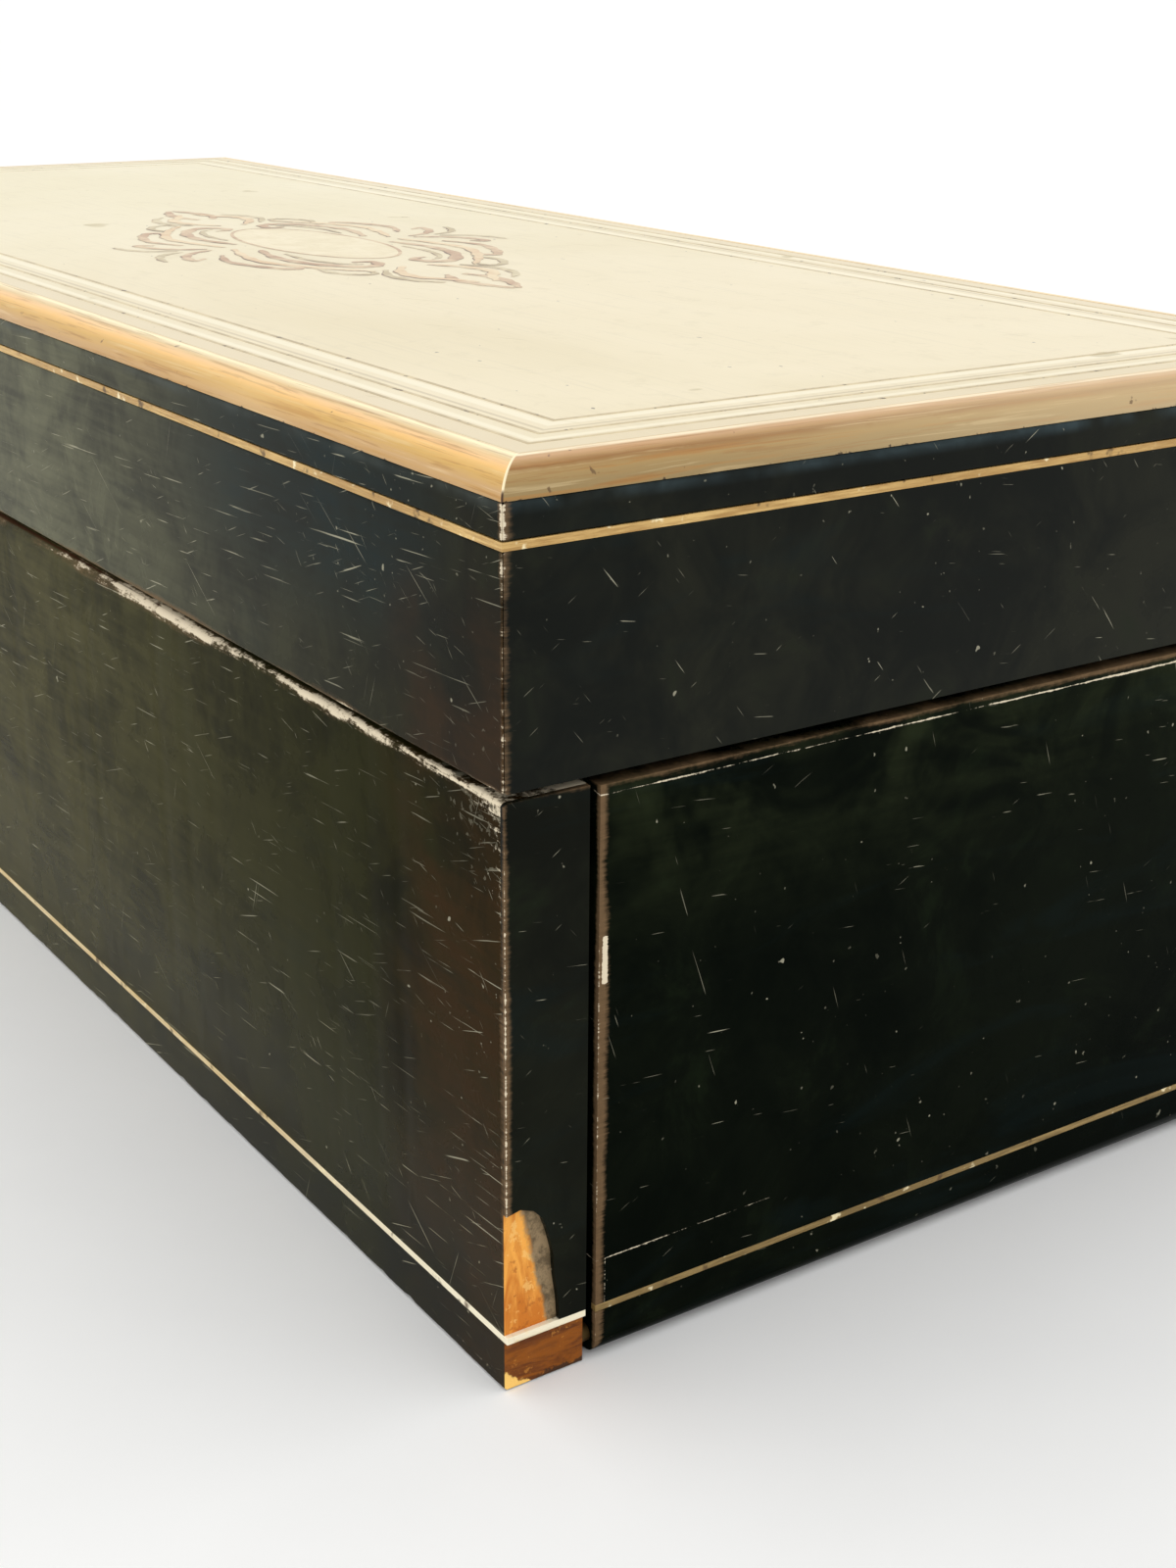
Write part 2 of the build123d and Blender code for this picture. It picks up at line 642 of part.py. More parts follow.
cheek_x0 = -147.0
far_x0 = -180.0
cheek_thick = 3.0
cheek_y0 = worm_y - 6
cheek_y1 = arbor1_y + 7
foot_top = bed_top + 4.5
cock_top = arbor1_z + 7.0
post_top = 84.0                     # holds the worm's upper pivot
thin_r = 1.2                        # arbors of the governor
cock_screw_r = 1.6
cock = block(cheek_x0, cheek_x0 + cheek_thick, arbor2_y - 5, cheek_y1, bed_top, cock_top)
cock += block(far_x0, far_x0 + cheek_thick, cheek_y0, cheek_y1, bed_top, cock_top)
cock += block(far_x0, cheek_x0 + cheek_thick, cheek_y0, cheek_y1, bed_top, foot_top)
cock += block(far_x0, far_x0 + cheek_thick, cheek_y0, worm_y + 6, arbor1_z, post_top)
cock += block(far_x0, worm_x + 5, worm_y - 4, worm_y + 4, post_top - 4, post_top)
for y, z in ((arbor1_y, arbor1_z), (arbor2_y, arbor2_z)):
    cock -= rod_x(thin_r + running, far_x0 - 1, cheek_x0 + cheek_thick + 1, y, z)
cock -= rod_z(thin_r + running, bed_top + 1, post_top + 1, worm_x, worm_y)
governor_screws = []
for x, y in ((-170, arbor1_y), (-153, arbor1_y), (-153, worm_y)):
    cock -= rod_z(cock_screw_r, bed_top, foot_top + 1, x, y)
    bedplate -= rod_z(cock_screw_r, bed_low, bed_top, x, y)
    governor_screws.append(screw_z(cock_screw_r, 2.8, bed_low, foot_top, foot_top + 1.8, x, y))
save(cock, "governor_frame")
save(group(governor_screws), "governor_screws")

arbor_x0 = far_x0 + 0.5
pinion1_x0 = -143.2
pinion1_x1 = -138.0
wheel1_x0 = -156.0
wheel1_x1 = -154.0
half_step0 = 180.0 / pinion1_teeth
pinion1 = gear(pinion1_teeth, train0_module, pinion1_x0, pinion1_x1, arbor1_y, arbor1_z,
               train0_angle + 180 + half_step0)
pinion1 += rod_x(thin_r, arbor_x0, pinion1_x1, arbor1_y, arbor1_z)
wheel1 = gear(wheel1_teeth, train1_module, wheel1_x0, wheel1_x1, arbor1_y, arbor1_z, 180.0)
wheel1 -= rod_x(thin_r, wheel1_x0 - 1, wheel1_x1 + 1, arbor1_y, arbor1_z)
save(group([pinion1, wheel1]), "first_wheel_and_pinion")

half_step1 = 180.0 / pinion2_teeth
pinion2 = gear(pinion2_teeth, train1_module, wheel1_x0 - 1, wheel1_x1 + 1, arbor2_y, arbor2_z, half_step1)
pinion2 += rod_x(thin_r, arbor_x0, cheek_x0 + cheek_thick - 0.5, arbor2_y, arbor2_z)
wheel2_half = 0.8
wheel2 = gear(wheel2_teeth, worm_module, worm_x - wheel2_half, worm_x + wheel2_half,
              arbor2_y, arbor2_z, 180.0)
wheel2 -= rod_x(thin_r, worm_x - 2, worm_x + 2, arbor2_y, arbor2_z)
save(group([pinion2, wheel2]), "second_wheel_and_pinion")

worm_lead = math.pi * worm_module
worm_core_r = 2.1
worm_turns = 5
thread_low = arbor2_z - worm_lead * worm_turns / 2
thread_path = Helix(worm_lead, worm_lead * worm_turns, worm_core_r)
thread_face = Plane.XZ * make_face(Polyline(
    (worm_core_r - 0.3, -0.62), (worm_pitch_r + 0.55, -0.22),
    (worm_pitch_r + 0.55, 0.22), (worm_core_r - 0.3, 0.62), close=True))
thread = sweep(thread_face, path=thread_path, is_frenet=True)
worm = rod_z(worm_core_r, thread_low - 1.5, arbor2_z + worm_lead * worm_turns / 2 + 1.5, worm_x, worm_y)
worm += rod_z(thin_r, bed_top + 1.2, post_top - 0.5, worm_x, worm_y)
worm += Pos(worm_x, worm_y, thread_low) * Rot(0, 0, 90) * thread
save(worm, "governor_worm")

fan_low = 62.0
fan_high = 77.0
fan_reach = 9.0
fan = block(worm_x - fan_reach, worm_x + fan_reach, worm_y - 0.4, worm_y + 0.4, fan_low, fan_high)
fan += rod_z(2.2, fan_low, fan_high, worm_x, worm_y)
fan -= rod_z(thin_r, fan_low - 1, fan_high + 1, worm_x, worm_y)
save(fan, "governor_fan")

# ---- control levers in the flap's recess --------------------------------

partition_x0 = 198.0
partition_x1 = 206.0
partition_top = 90.0
lever_ys = (20.0, 37.0, 54.0)
lever_z = 60.0
lever_thick = 2.4
lever_pivot_x = 186.0
lever_half = 2.0
lever_x0 = 177.0
lever_x1 = 214.0
lever_screw_r = 2.0
slot_half_y = 6.4
slot_half_z = 3.5
partition = block(partition_x0, partition_x1, -inner_y, inner_y, floor_top, partition_top)
partition -= rod_x(7, partition_x0 - 1, partition_x1 + 1, barrel_y, barrel_z)
for y in lever_ys:
    partition -= block(partition_x0 - 1, partition_x1 + 1, y - slot_half_y, y + slot_half_y,
                       lever_z - slot_half_z, lever_z + slot_half_z)
save(partition, "inner_end_board")

bracket_top = lever_z - lever_thick / 2 - 0.3
bracket_x0 = lever_pivot_x - 6.0
bracket_x1 = lever_pivot_x + 6.0
bracket = block(bracket_x0, bracket_x1, 14, 60, bed_top, bracket_top)
bracket -= block(bracket_x0 - 1, bracket_x1 + 1, 24, 50, bed_top + 6, bracket_top - 6)
lever_screws = []
for y in lever_ys:
    bracket -= rod_z(lever_screw_r, bracket_top - 5, bracket_top + 1, lever_pivot_x, y)
    lever_screws.append(screw_z(lever_screw_r, 3.4, bracket_top - 5, lever_z + 1.5, lever_z + 3.3,
                                lever_pivot_x, y))
save(bracket, "lever_bracket")
save(group(lever_screws), "lever_screws")
save(bedplate, "bedplate")

for y, node in zip(lever_ys, ("start_stop_lever", "change_repeat_lever", "instant_stop_lever")):
    z0 = lever_z - lever_thick / 2
    z1 = lever_z + lever_thick / 2
    lever = block(lever_x0, lever_x1, y - lever_half, y + lever_half, z0, z1)
    lever += rod_z(3.6, z0, z1, lever_pivot_x, y)
    lever += rod_z(3.0, z0 - 1.2, z1 + 1.2, lever_x1 + 0.5, y)
    lever -= rod_z(lever_screw_r + running, z0 - 1, z1 + 1, lever_pivot_x, y)
    save(lever, node)

save(group([
    screw_z(bed_screw_r, 4.5, floor_top + 0.5, bed_top, bed_top + 2.6, x, y) for x, y in bed_screw_at
]), "bedplate_screws")

# ---- winding key, kept in the recess ------------------------------------

key_x = 213.0
key_z = floor_top + 12.5
key_y0 = -40.0
key_r = 4.6
tube_long = 34.0
socket_half = square / 2 + 0.1
bow_thick = 3.6
key_tube = rod_y(key_r, key_y0, key_y0 + tube_long, key_x, key_z)
key_tube -= block(key_x - socket_half, key_x + socket_half, key_y0 - 1, key_y0 + 20,
                  key_z - socket_half, key_z + socket_half)
bow_ring = Plane.YZ * (Ellipse(16, 12) - Ellipse(11, 7))
bow = Pos(key_x - bow_thick / 2, key_y0 + tube_long + 14, key_z) * extrude(bow_ring, amount=bow_thick)
save(key_tube + bow, "winding_key")
cradle = block(partition_x1, key_x + 5, key_y0 + 8, key_y0 + 20, floor_top, key_z)
cradle -= rod_y(key_r, key_y0, key_y0 + 30, key_x, key_z)
save(cradle, "key_cradle")
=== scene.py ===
import math
import random

import bmesh
import bpy
from mathutils import Matrix, Vector, noise


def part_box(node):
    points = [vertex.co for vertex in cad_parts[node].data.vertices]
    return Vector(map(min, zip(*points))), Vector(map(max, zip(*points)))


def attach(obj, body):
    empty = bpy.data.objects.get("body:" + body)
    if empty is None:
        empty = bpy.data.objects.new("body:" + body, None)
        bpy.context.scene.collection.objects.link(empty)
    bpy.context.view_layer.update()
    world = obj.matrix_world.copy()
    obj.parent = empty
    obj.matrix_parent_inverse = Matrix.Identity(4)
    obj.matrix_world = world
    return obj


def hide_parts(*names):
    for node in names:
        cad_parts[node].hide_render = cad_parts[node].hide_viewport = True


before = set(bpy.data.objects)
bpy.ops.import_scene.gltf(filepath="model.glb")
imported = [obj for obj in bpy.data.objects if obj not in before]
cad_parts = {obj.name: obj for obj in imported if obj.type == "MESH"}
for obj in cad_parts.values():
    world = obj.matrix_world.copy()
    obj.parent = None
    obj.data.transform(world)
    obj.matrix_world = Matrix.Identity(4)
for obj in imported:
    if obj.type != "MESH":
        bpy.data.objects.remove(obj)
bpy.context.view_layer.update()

# ---------------------------------------------------------------------------
# Front board, 14 mm: softwood faced with black french-polished veneer.  Its top
# front edge is rubbed, with a painted highlight laid along it, the corners are
# bruised, and the veneer has come away from the foot of its right-hand end so
# that the bare orange wood shows.
# ---------------------------------------------------------------------------

MM = 0.001
half_long, half_deep = 232.5, 91.0      # half the case's length and depth, in mm
base_top, lid_foot = 94.2, 95.4         # heights where the base ends and the lid starts


def paint(red, green, blue):
    """A colour given 0 to 255, for a shader."""
    tint = []
    for part in (red, green, blue):
        part = part / 255
        tint.append(part / 12.92 if part < 0.04045 else ((part + 0.055) / 1.055) ** 2.4)
    return (tint[0], tint[1], tint[2], 1.0)


class Wire:
    """One socket of a finish, ready for ordinary sums."""

    def __init__(self, finish, socket):
        self.finish = finish
        self.socket = socket

    def sum(self, operation, first, second=0.5):
        settings = {"operation": operation}
        return self.finish.node("ShaderNodeMath", settings, {0: first, 1: second})

    def __add__(self, other):
        return self.sum("ADD", self, other)

    def __radd__(self, other):
        return self.sum("ADD", other, self)

    def __sub__(self, other):
        return self.sum("SUBTRACT", self, other)

    def __rsub__(self, other):
        return self.sum("SUBTRACT", other, self)

    def __mul__(self, other):
        return self.sum("MULTIPLY", self, other)

    def __rmul__(self, other):
        return self.sum("MULTIPLY", other, self)

    def __truediv__(self, other):
        return self.sum("DIVIDE", self, other)

    def __abs__(self):
        return self.sum("ABSOLUTE", self)

    def least(self, other):
        return self.sum("MINIMUM", self, other)

    def most(self, other):
        return self.sum("MAXIMUM", self, other)

    def rise(self, low, high):
        """0 below low, 1 above high, eased between."""
        settings = {"interpolation_type": "SMOOTHSTEP"}
        return self.finish.node("ShaderNodeMapRange", settings, {0: self, 1: low, 2: high})

    def fall(self, low, high):
        return 1 - self.rise(low, high)


class Finish:
    """One material: its surface shader and the nodes that colour it."""

    def __init__(self, name, **constants):
        self.material = bpy.data.materials.new(name)
        self.material.use_nodes = True
        self.tree = self.material.node_tree
        self.tree.nodes.clear()
        self.surface = self.tree.nodes.new("ShaderNodeBsdfPrincipled")
        output = self.tree.nodes.new("ShaderNodeOutputMaterial")
        self.tree.links.new(self.surface.outputs[0], output.inputs[0])
        for socket, value in constants.items():
            self.surface.inputs[socket.replace("_", " ")].default_value = value
        self.place = self.node("ShaderNodeTexCoord", {}, {}, "Object")
        self.x = self.part_of(0)
        self.y = self.part_of(1)
        self.z = self.part_of(2)

    def node(self, kind, settings, sockets, output=0):
        made = self.tree.nodes.new(kind)
        for setting, value in settings.items():
            if setting == "stops":
                ramp = made.color_ramp
                while len(ramp.elements) < len(value):
                    ramp.elements.new(0.5)
                for element, (position, colour) in zip(ramp.elements, value):
                    element.position = position
                    element.color = colour
            else:
                setattr(made, setting, value)
        for socket, value in sockets.items():
            if isinstance(value, Wire):
                self.tree.links.new(value.socket, made.inputs[socket])
            else:
                made.inputs[socket].default_value = value
        return Wire(self, made.outputs[output])

    def part_of(self, axis):
        """One coordinate of the place on the object, in millimetres."""
        return self.node("ShaderNodeSeparateXYZ", {}, {0: self.place}, axis) * 1000

    def stretched(self, scale, turn=(0, 0, 0)):
        """The place, turned and then scaled, in turns per metre."""
        turned = self.node("ShaderNodeMapping", {}, {"Vector": self.place, "Rotation": turn})
        return self.node("ShaderNodeMapping", {}, {"Vector": turned, "Scale": scale})

    def cloud(self, scale, detail=3.0, roughness=0.55, twist=0.0, turn=(0, 0, 0)):
        """Soft noise.  scale is a number, or three for a stretched grain."""
        sizes = scale if isinstance(scale, tuple) else (scale, scale, scale)
        sockets = {
            "Vector": self.stretched(sizes, turn),
            "Scale": 1.0,
            "Detail": detail,
            "Roughness": roughness,
            "Distortion": twist,
        }
        return self.node("ShaderNodeTexNoise", {}, sockets)

    def blend(self, factor, first, second):
        settings = {"data_type": "RGBA"}
        return self.node("ShaderNodeMix", settings, {0: factor, 6: first, 7: second}, 2)

    def ramp(self, value, stops):
        return self.node("ShaderNodeValToRGB", {"stops": stops}, {0: value})

    def set(self, colour, roughness=None, height=None, strength=0.3, reach=0.0002):
        """Feeds the surface its colour, roughness and bump."""
        inputs = self.surface.inputs
        self.tree.links.new(colour.socket, inputs["Base Color"])
        if roughness is not None:
            self.tree.links.new(roughness.socket, inputs["Roughness"])
        if height is not None:
            sockets = {"Height": height, "Strength": strength, "Distance": reach}
            bump = self.node("ShaderNodeBump", {}, sockets)
            self.tree.links.new(bump.socket, inputs["Normal"])
        return self.material


def scratches(finish, turn, long, fine, limit):
    """Thin light strokes; turn lays them over the face."""
    return finish.cloud((long, long, fine), 2.0, 0.5, 0.15, turn).rise(limit, limit + 0.04)


def lacquer(name, edge, busy, strokes, shine, deep, haze, casts=()):
    """Black polish.  edge gives two distances in mm, one from the brown rub and
    one from the white, worn pale edges that also serve as painted highlights; busy
    is how thickly the face is scratched; casts are areas, 0 to 1, given another
    colour, among them worn polish, bloom, painted sheen and a painted reflection.
    Inside the case the wood is only stained brown."""
    finish = Finish(name, IOR=1.45, Specular_IOR_Level=shine)
    broad = finish.cloud(9.0, 4.0, 0.6, 0.6)
    mottle = finish.cloud(60.0, 4.0, 0.7, 0.5)
    smear = finish.cloud((14.0, 14.0, 60.0), 4.0, 0.65, 0.8)
    grain = finish.cloud((40.0, 40.0, 700.0), 4.0, 0.6)
    colour = finish.blend((broad + mottle * 0.7).rise(0.72, 1.05), paint(*deep), paint(*haze))
    colour = finish.blend(smear.rise(0.54, 0.72) * 0.35, colour, paint(15, 27, 27))
    colour = finish.blend(mottle.rise(0.55, 0.75) * 0.35, colour, paint(22, 32, 16))
    for area, tint in casts:
        patchy = 0.3 + mottle.rise(0.34, 0.64) * 0.45 + grain.rise(0.35, 0.65) * 0.25
        colour = finish.blend(area(finish) * patchy, colour, paint(*tint))
    crowd = busy(finish)
    patches = finish.cloud(26.0, 3.0, 0.6).rise(0.42, 0.62) * 0.7 + 0.2
    specks = finish.cloud(780.0, 2.0, 0.5)
    dots = finish.cloud(300.0, 2.0, 0.5).rise(0.765, 0.785) * 0.8
    marks = (specks + crowd * crowd * 0.15).rise(0.75, 0.79) * patches
    for turn, long, fine, limit in strokes:
        cuts = scratches(finish, turn, long, fine, limit - crowd * 0.035)
        marks = marks.most(cuts * (0.3 + patches * 0.8))
    marks = marks.most(dots)
    colour = finish.blend(marks * 0.85, colour, paint(168, 164, 142))
    runs = finish.cloud(28.0, 3.0, 0.6).rise(0.38, 0.66)
    grit = finish.cloud(1100.0, 3.0, 0.75) * 0.4 + finish.cloud((150.0, 150.0, 1900.0), 3.0, 0.7) * 0.6
    brown_away, white_and_highlight_away = edge(finish)
    tan = (brown_away - runs * 0.8 + (0.5 - grit) * 2.0).fall(-0.4, 0.7)
    # white: pale wear along the arris, also painted bright as the edge's highlight
    white = (white_and_highlight_away + (0.56 - grit) * 2.4 - runs * 0.5).fall(-0.05, 0.25)
    colour = finish.blend(tan * (0.35 + grit * 0.7), colour, paint(124, 99, 72))
    colour = finish.blend(white * 0.9, colour, paint(232, 218, 190))
    past_front = abs(finish.y) - (half_deep - 1.0)
    past_end = abs(finish.x) - (half_long - 11.7)
    outer = past_front.most(past_end).rise(-0.2, 0.2)
    in_joint = (base_top - 0.15 - finish.z) * (lid_foot + 0.15 - finish.z)
    inside = (1 - outer) * in_joint.rise(-0.1, 0.1)
    stain = finish.blend(grain.rise(0.3, 0.7), paint(70, 45, 28), paint(44, 28, 17))
    colour = finish.blend(inside, colour, stain)
    roughness = 0.14 + inside * 0.35 + broad * 0.14 + mottle * 0.1 + marks * 0.4 + tan * 0.3
    height = mottle * 0.05 - marks * 0.6 - tan * 0.4 - white * 0.3
    return finish.set(colour, roughness, height, 0.25, 0.0002)


def near_right(finish):
    """The polish is worn thin and brown next to the flap end."""
    return finish.x.rise(190.0, 216.0) * finish.cloud(30.0, 3.0, 0.6).rise(0.3, 0.55)


def painted_sheen_middle(finish):
    """Painted sheen: olive colour for the glancing reflection on the polish, strongest just right of the
    middle, gone by the flap end, a quarter toward the left.
    """
    return finish.x.fall(20.0, 215.0) * (finish.x.rise(-120.0, 70.0) * 0.75 + 0.25)


def busy_right(finish):
    """More scratches toward the flap end, most of all at the top corner."""
    return finish.x.rise(60.0, 232.0) * 0.5 + (finish.x * 0.6 + finish.z).rise(206.0, 232.0) * 0.7


def front_edges(finish):
    """The top front edge, rubbed and with a painted highlight as its white line,
    the two front corners with a bruise at the top of each, and a thin scuff
    along the foot."""
    top = (base_top - finish.z) + (finish.y + half_deep)
    corner = (half_long - abs(finish.x)) + (finish.y + half_deep)
    white_top = top * 0.5 + finish.x.fall(-60.0, 150.0) * 0.45 - 0.3
    foot = abs(finish.z - 1.7) * 1.2 + finish.x.fall(196.0, 212.0) * 2.0 + 0.05
    bruise = (half_long - abs(finish.x)) * 0.045 + (base_top - finish.z) * 0.04 - 0.08
    white = white_top.least(corner + 0.1).least(foot).least(bruise)
    return (top * 0.55).least(corner * 0.8), white


# each is a turn about Y, how long and how fine, and how rare the strokes are
front_strokes = (
    ((0, 0.05, 0), 60.0, 2600.0, 0.71),
    ((0, 0.35, 0), 80.0, 2600.0, 0.73),
    ((0, -0.25, 0), 110.0, 3000.0, 0.73),
    ((0, -0.85, 0), 160.0, 2600.0, 0.76),
    ((0, -0.6, 0), 34.0, 2200.0, 0.735),
    ((0, 1.2, 0), 45.0, 2200.0, 0.75),
)
# the olive over the middle is painted sheen; the brown by the flap end is worn polish
front_casts = ((painted_sheen_middle, (78, 74, 44)), (near_right, (50, 34, 13)))
front_black = lacquer("front black polish", front_edges, busy_right, front_strokes, 0.02,
                      (20, 20, 6), (38, 38, 14), front_casts)


def bare_wood(name):
    """Softwood stripped of its veneer: orange where it is clean, grey-brown with
    old glue round the edge of the break, and dark brown below the inlaid line."""
    finish = Finish(name, IOR=1.45, Specular_IOR_Level=0.3)
    bands = finish.cloud((60.0, 260.0, 60.0), 4.0, 0.6, 1.2)
    crumbs = finish.cloud(420.0, 4.0, 0.7)
    colour = finish.blend(bands.rise(0.36, 0.62), paint(246, 172, 74), paint(206, 120, 36))
    colour = finish.blend(crumbs.rise(0.58, 0.66) * 0.7, colour, paint(176, 98, 30))
    colour = finish.blend(crumbs.fall(0.36, 0.42) * 0.6, colour, paint(250, 200, 116))
    clean = 7.3 - (finish.z - 10.0) * 0.2 + (crumbs - 0.5) * 2.0 + (bands - 0.5) * 2.0
    glue = ((finish.y + half_deep) - clean).rise(-0.4, 0.6)
    glue_colour = finish.blend(crumbs.rise(0.4, 0.6), paint(146, 124, 92), paint(98, 82, 58))
    colour = finish.blend(glue, colour, glue_colour)
    low = finish.z.fall(8.4, 8.8)
    dark_band = finish.cloud((60.0, 90.0, 500.0), 4.0, 0.7, 0.8)
    low_colour = finish.blend(dark_band.rise(0.38, 0.62), paint(142, 78, 6), paint(98, 48, 3))
    low_colour = finish.blend(crumbs.rise(0.6, 0.66) * 0.45, low_colour, paint(206, 140, 56))
    colour = finish.blend(low, colour, low_colour)
    corner = (finish.y + half_deep) + finish.z * 1.2 + (crumbs - 0.5) * 7.0
    colour = finish.blend(corner.fall(3.2, 4.2), colour, paint(255, 206, 110))
    dark_rim = (finish.z + (crumbs - 0.5) * 3.0).fall(0.5, 0.9) * (finish.y + 86.0).rise(0.0, 2.0)
    colour = finish.blend(dark_rim, colour, paint(66, 38, 14))
    return finish.set(colour, 0.5 + bands * 0.3, bands + crumbs, 0.6, 0.0004)


orange_wood = bare_wood("bare orange wood")


def build(name, points, faces, materials, body, replaced=()):
    """A mesh piece from its corners, in metres, and its faces."""
    mesh = bpy.data.meshes.new(name)
    mesh.from_pydata([tuple(point) for point in points], [], faces)
    mesh.validate()
    for material in materials:
        mesh.materials.append(material)
    piece = bpy.data.objects.new(name, mesh)
    bpy.context.scene.collection.objects.link(piece)
    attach(piece, body)
    if replaced:
        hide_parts(*replaced)
    return piece


def loft(rings, closed_ends=True):
    """Faces that join equal rings of points one after another."""
    count = len(rings[0])
    points = [point for ring in rings for point in ring]
    faces = []
    for i in range(len(rings) - 1):
        for j in range(count):
            k = (j + 1) % count
            faces.append((i * count + j, i * count + k, (i + 1) * count + k, (i + 1) * count + j))
    if closed_ends:
        faces.append(tuple(reversed(range(count))))
        faces.append(tuple((len(rings) - 1) * count + j for j in range(count)))
    return points, faces


def plate(outline, low, high, place):
    """Points and faces of a flat plate; place turns (a, b, depth) to x, y, z."""
    count = len(outline)
    points = [place(a, b, low) for a, b in outline] + [place(a, b, high) for a, b in outline]
    faces = [tuple(range(count)), tuple(reversed(range(count, 2 * count)))]
    for j in range(count):
        k = (j + 1) % count
        faces.append((j, k, count + k, count + j))
    return points, faces


def tidy(piece, smooth_angle=40):
    """Outward faces and shading that is smooth except over sharp edges."""
    work = bmesh.new()
    work.from_mesh(piece.data)
    bmesh.ops.recalc_face_normals(work, faces=work.faces)
    work.to_mesh(piece.data)
    work.free()
    for polygon in piece.data.polygons:
        polygon.use_smooth = True
    piece.data.set_sharp_from_angle(angle=math.radians(smooth_angle))


board_low, board_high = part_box("front_board")
lock_low, lock_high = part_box("lock_case")
face_y = board_low.y + 0.05 * MM
end_veneer = 0.9 * MM
stations = 260
length = board_high.x - end_veneer - board_low.x
places = [board_low.x + length * i / stations for i in range(stations + 1)]
for lock_end in (lock_low.x, lock_high.x):
    places += [lock_end - 0.01 * MM, lock_end + 0.01 * MM]
rings = []
# the back and top are open where the lock is let in
for x in sorted(places):
    in_lock = lock_low.x < x < lock_high.x
    rear = lock_low.y if in_lock else board_high.y
    wobble = noise.noise(Vector((x * 160, 3.1, 0.0)))
    nick = max(0.0, noise.noise(Vector((x * 420, 9.7, 0.0))) - 0.25)
    toward_right = min(1.0, max(0.0, (0.205 - x) / 0.17))
    rub = (0.5 + 1.5 * toward_right + 0.22 * wobble + 1.1 * nick) * MM
    foot = (0.35 + 0.25 * wobble + 0.8 * nick) * MM
    rings.append([
        (x, board_high.y, board_low.z),
        (x, board_high.y, lock_low.z),
        (x, rear, lock_low.z),
        (x, rear, board_high.z),
        (x, face_y + rub, board_high.z),
        (x, face_y + rub * 0.3, board_high.z - rub * 0.35),
        (x, face_y, board_high.z - rub),
        (x, face_y, board_low.z + foot),
        (x, face_y + foot, board_low.z),
    ])
points, faces = loft(rings)
front = build("front_board_body", points, faces, [front_black, orange_wood],
              "case", ["front_board"])
front.data.polygons[len(faces) - 1].material_index = 1
tidy(front, 50)

# The veneer that is left on the board's right-hand end: whole above, with a
# bay broken out along its front edge and nothing below the inlaid line.
end_x = board_high.x


def on_end(a, b, depth):
    return (end_x - depth, a, b)


front_y = board_low.y
back_y = board_high.y
ragged = random.Random(4)
string_top = 9.6
# how far in from the front the break runs, and at what height
bay = [(9.3, 9.8), (9.0, 13.6), (8.5, 17.6), (7.9, 21.6),
       (7.1, 25.4), (6.2, 28.2), (4.8, 30.0), (2.5, 30.6)]
bay_top = 30.3
outline = [(back_y, board_high.z), (back_y, string_top * MM), (back_y - 3.0 * MM, string_top * MM)]
for across, up in bay:
    across += ragged.uniform(-0.2, 0.2)
    up += ragged.uniform(-0.2, 0.2)
    outline.append((front_y + across * MM, up * MM))
outline.append((front_y, bay_top * MM))
outline.append((front_y, board_high.z - 0.5 * MM))
outline.append((front_y + 0.6 * MM, board_high.z))


def end_edges(finish):
    corner = (finish.y + half_deep) + (half_long - finish.x)
    top = (base_top - finish.z) + 0.6
    return (corner * 1.2).least(top), (corner * 1.5 + 0.3).least(top)


def quiet(finish):
    """Few scratches, in loose patches."""
    return finish.cloud(20.0, 3.0, 0.6).rise(0.4, 0.7) * 0.7 - 0.4


end_strokes = (
    ((0.15, 0, 0), 120.0, 2800.0, 0.735),
    ((0.9, 0, 0), 110.0, 2600.0, 0.745),
    ((-0.6, 0, 0), 130.0, 2600.0, 0.745),
)
end_black = lacquer("end black polish", end_edges, quiet, end_strokes, 0.05, (13, 15, 9), (23, 25, 16))
points, faces = plate(outline, 0.0, end_veneer, on_end)
tidy(build("front_board_end_veneer", points, faces, [end_black], "case"))

# ---------------------------------------------------------------------------
# Back board and left end board: the same black polished boards, less worn.
# The left end board is glued between the front and back boards.
# ---------------------------------------------------------------------------


def soften(node, width, materials):
    """Gives a part its finish and takes the sharpness off its edges."""
    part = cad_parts[node]
    part.data.materials.clear()
    for material in materials:
        part.data.materials.append(material)
    weld = part.modifiers.new("joined", "WELD")
    weld.merge_threshold = 1e-6
    bevel = part.modifiers.new("eased edges", "BEVEL")
    bevel.width = width
    bevel.segments = 2
    bevel.limit_method = "ANGLE"
    bevel.angle_limit = math.radians(40)
    bevel.harden_normals = True
    return part


def case_edges(finish):
    corner = (half_long - abs(finish.x)) + (half_deep - abs(finish.y))
    top = (base_top - finish.z) + (half_deep - abs(finish.y)).least(half_long - abs(finish.x))
    return (corner * 0.7).least(top * 0.7), corner.least(top * 0.8 + 0.15)


back_black = lacquer("back black polish", case_edges, quiet, front_strokes, 0.12,
                     (18, 17, 10), (36, 34, 20))
side_black = lacquer("left end black polish", case_edges, quiet, end_strokes, 0.12,
                     (15, 16, 10), (30, 30, 19))
soften("back_board", 0.5 * MM, [back_black])
soften("left_end_board", 0.4 * MM, [side_black])

# ---------------------------------------------------------------------------
# Drop-down flap: a black polished board on two brass pins near its foot.  Its
# near edge is rubbed brown where fingers pull it, and its top edge is scuffed.
# ---------------------------------------------------------------------------


flap_near, flap_top = -75.25, 93.8      # the flap's near edge and its top, in mm
sliver_z = 67.0
cut_z = 17.4


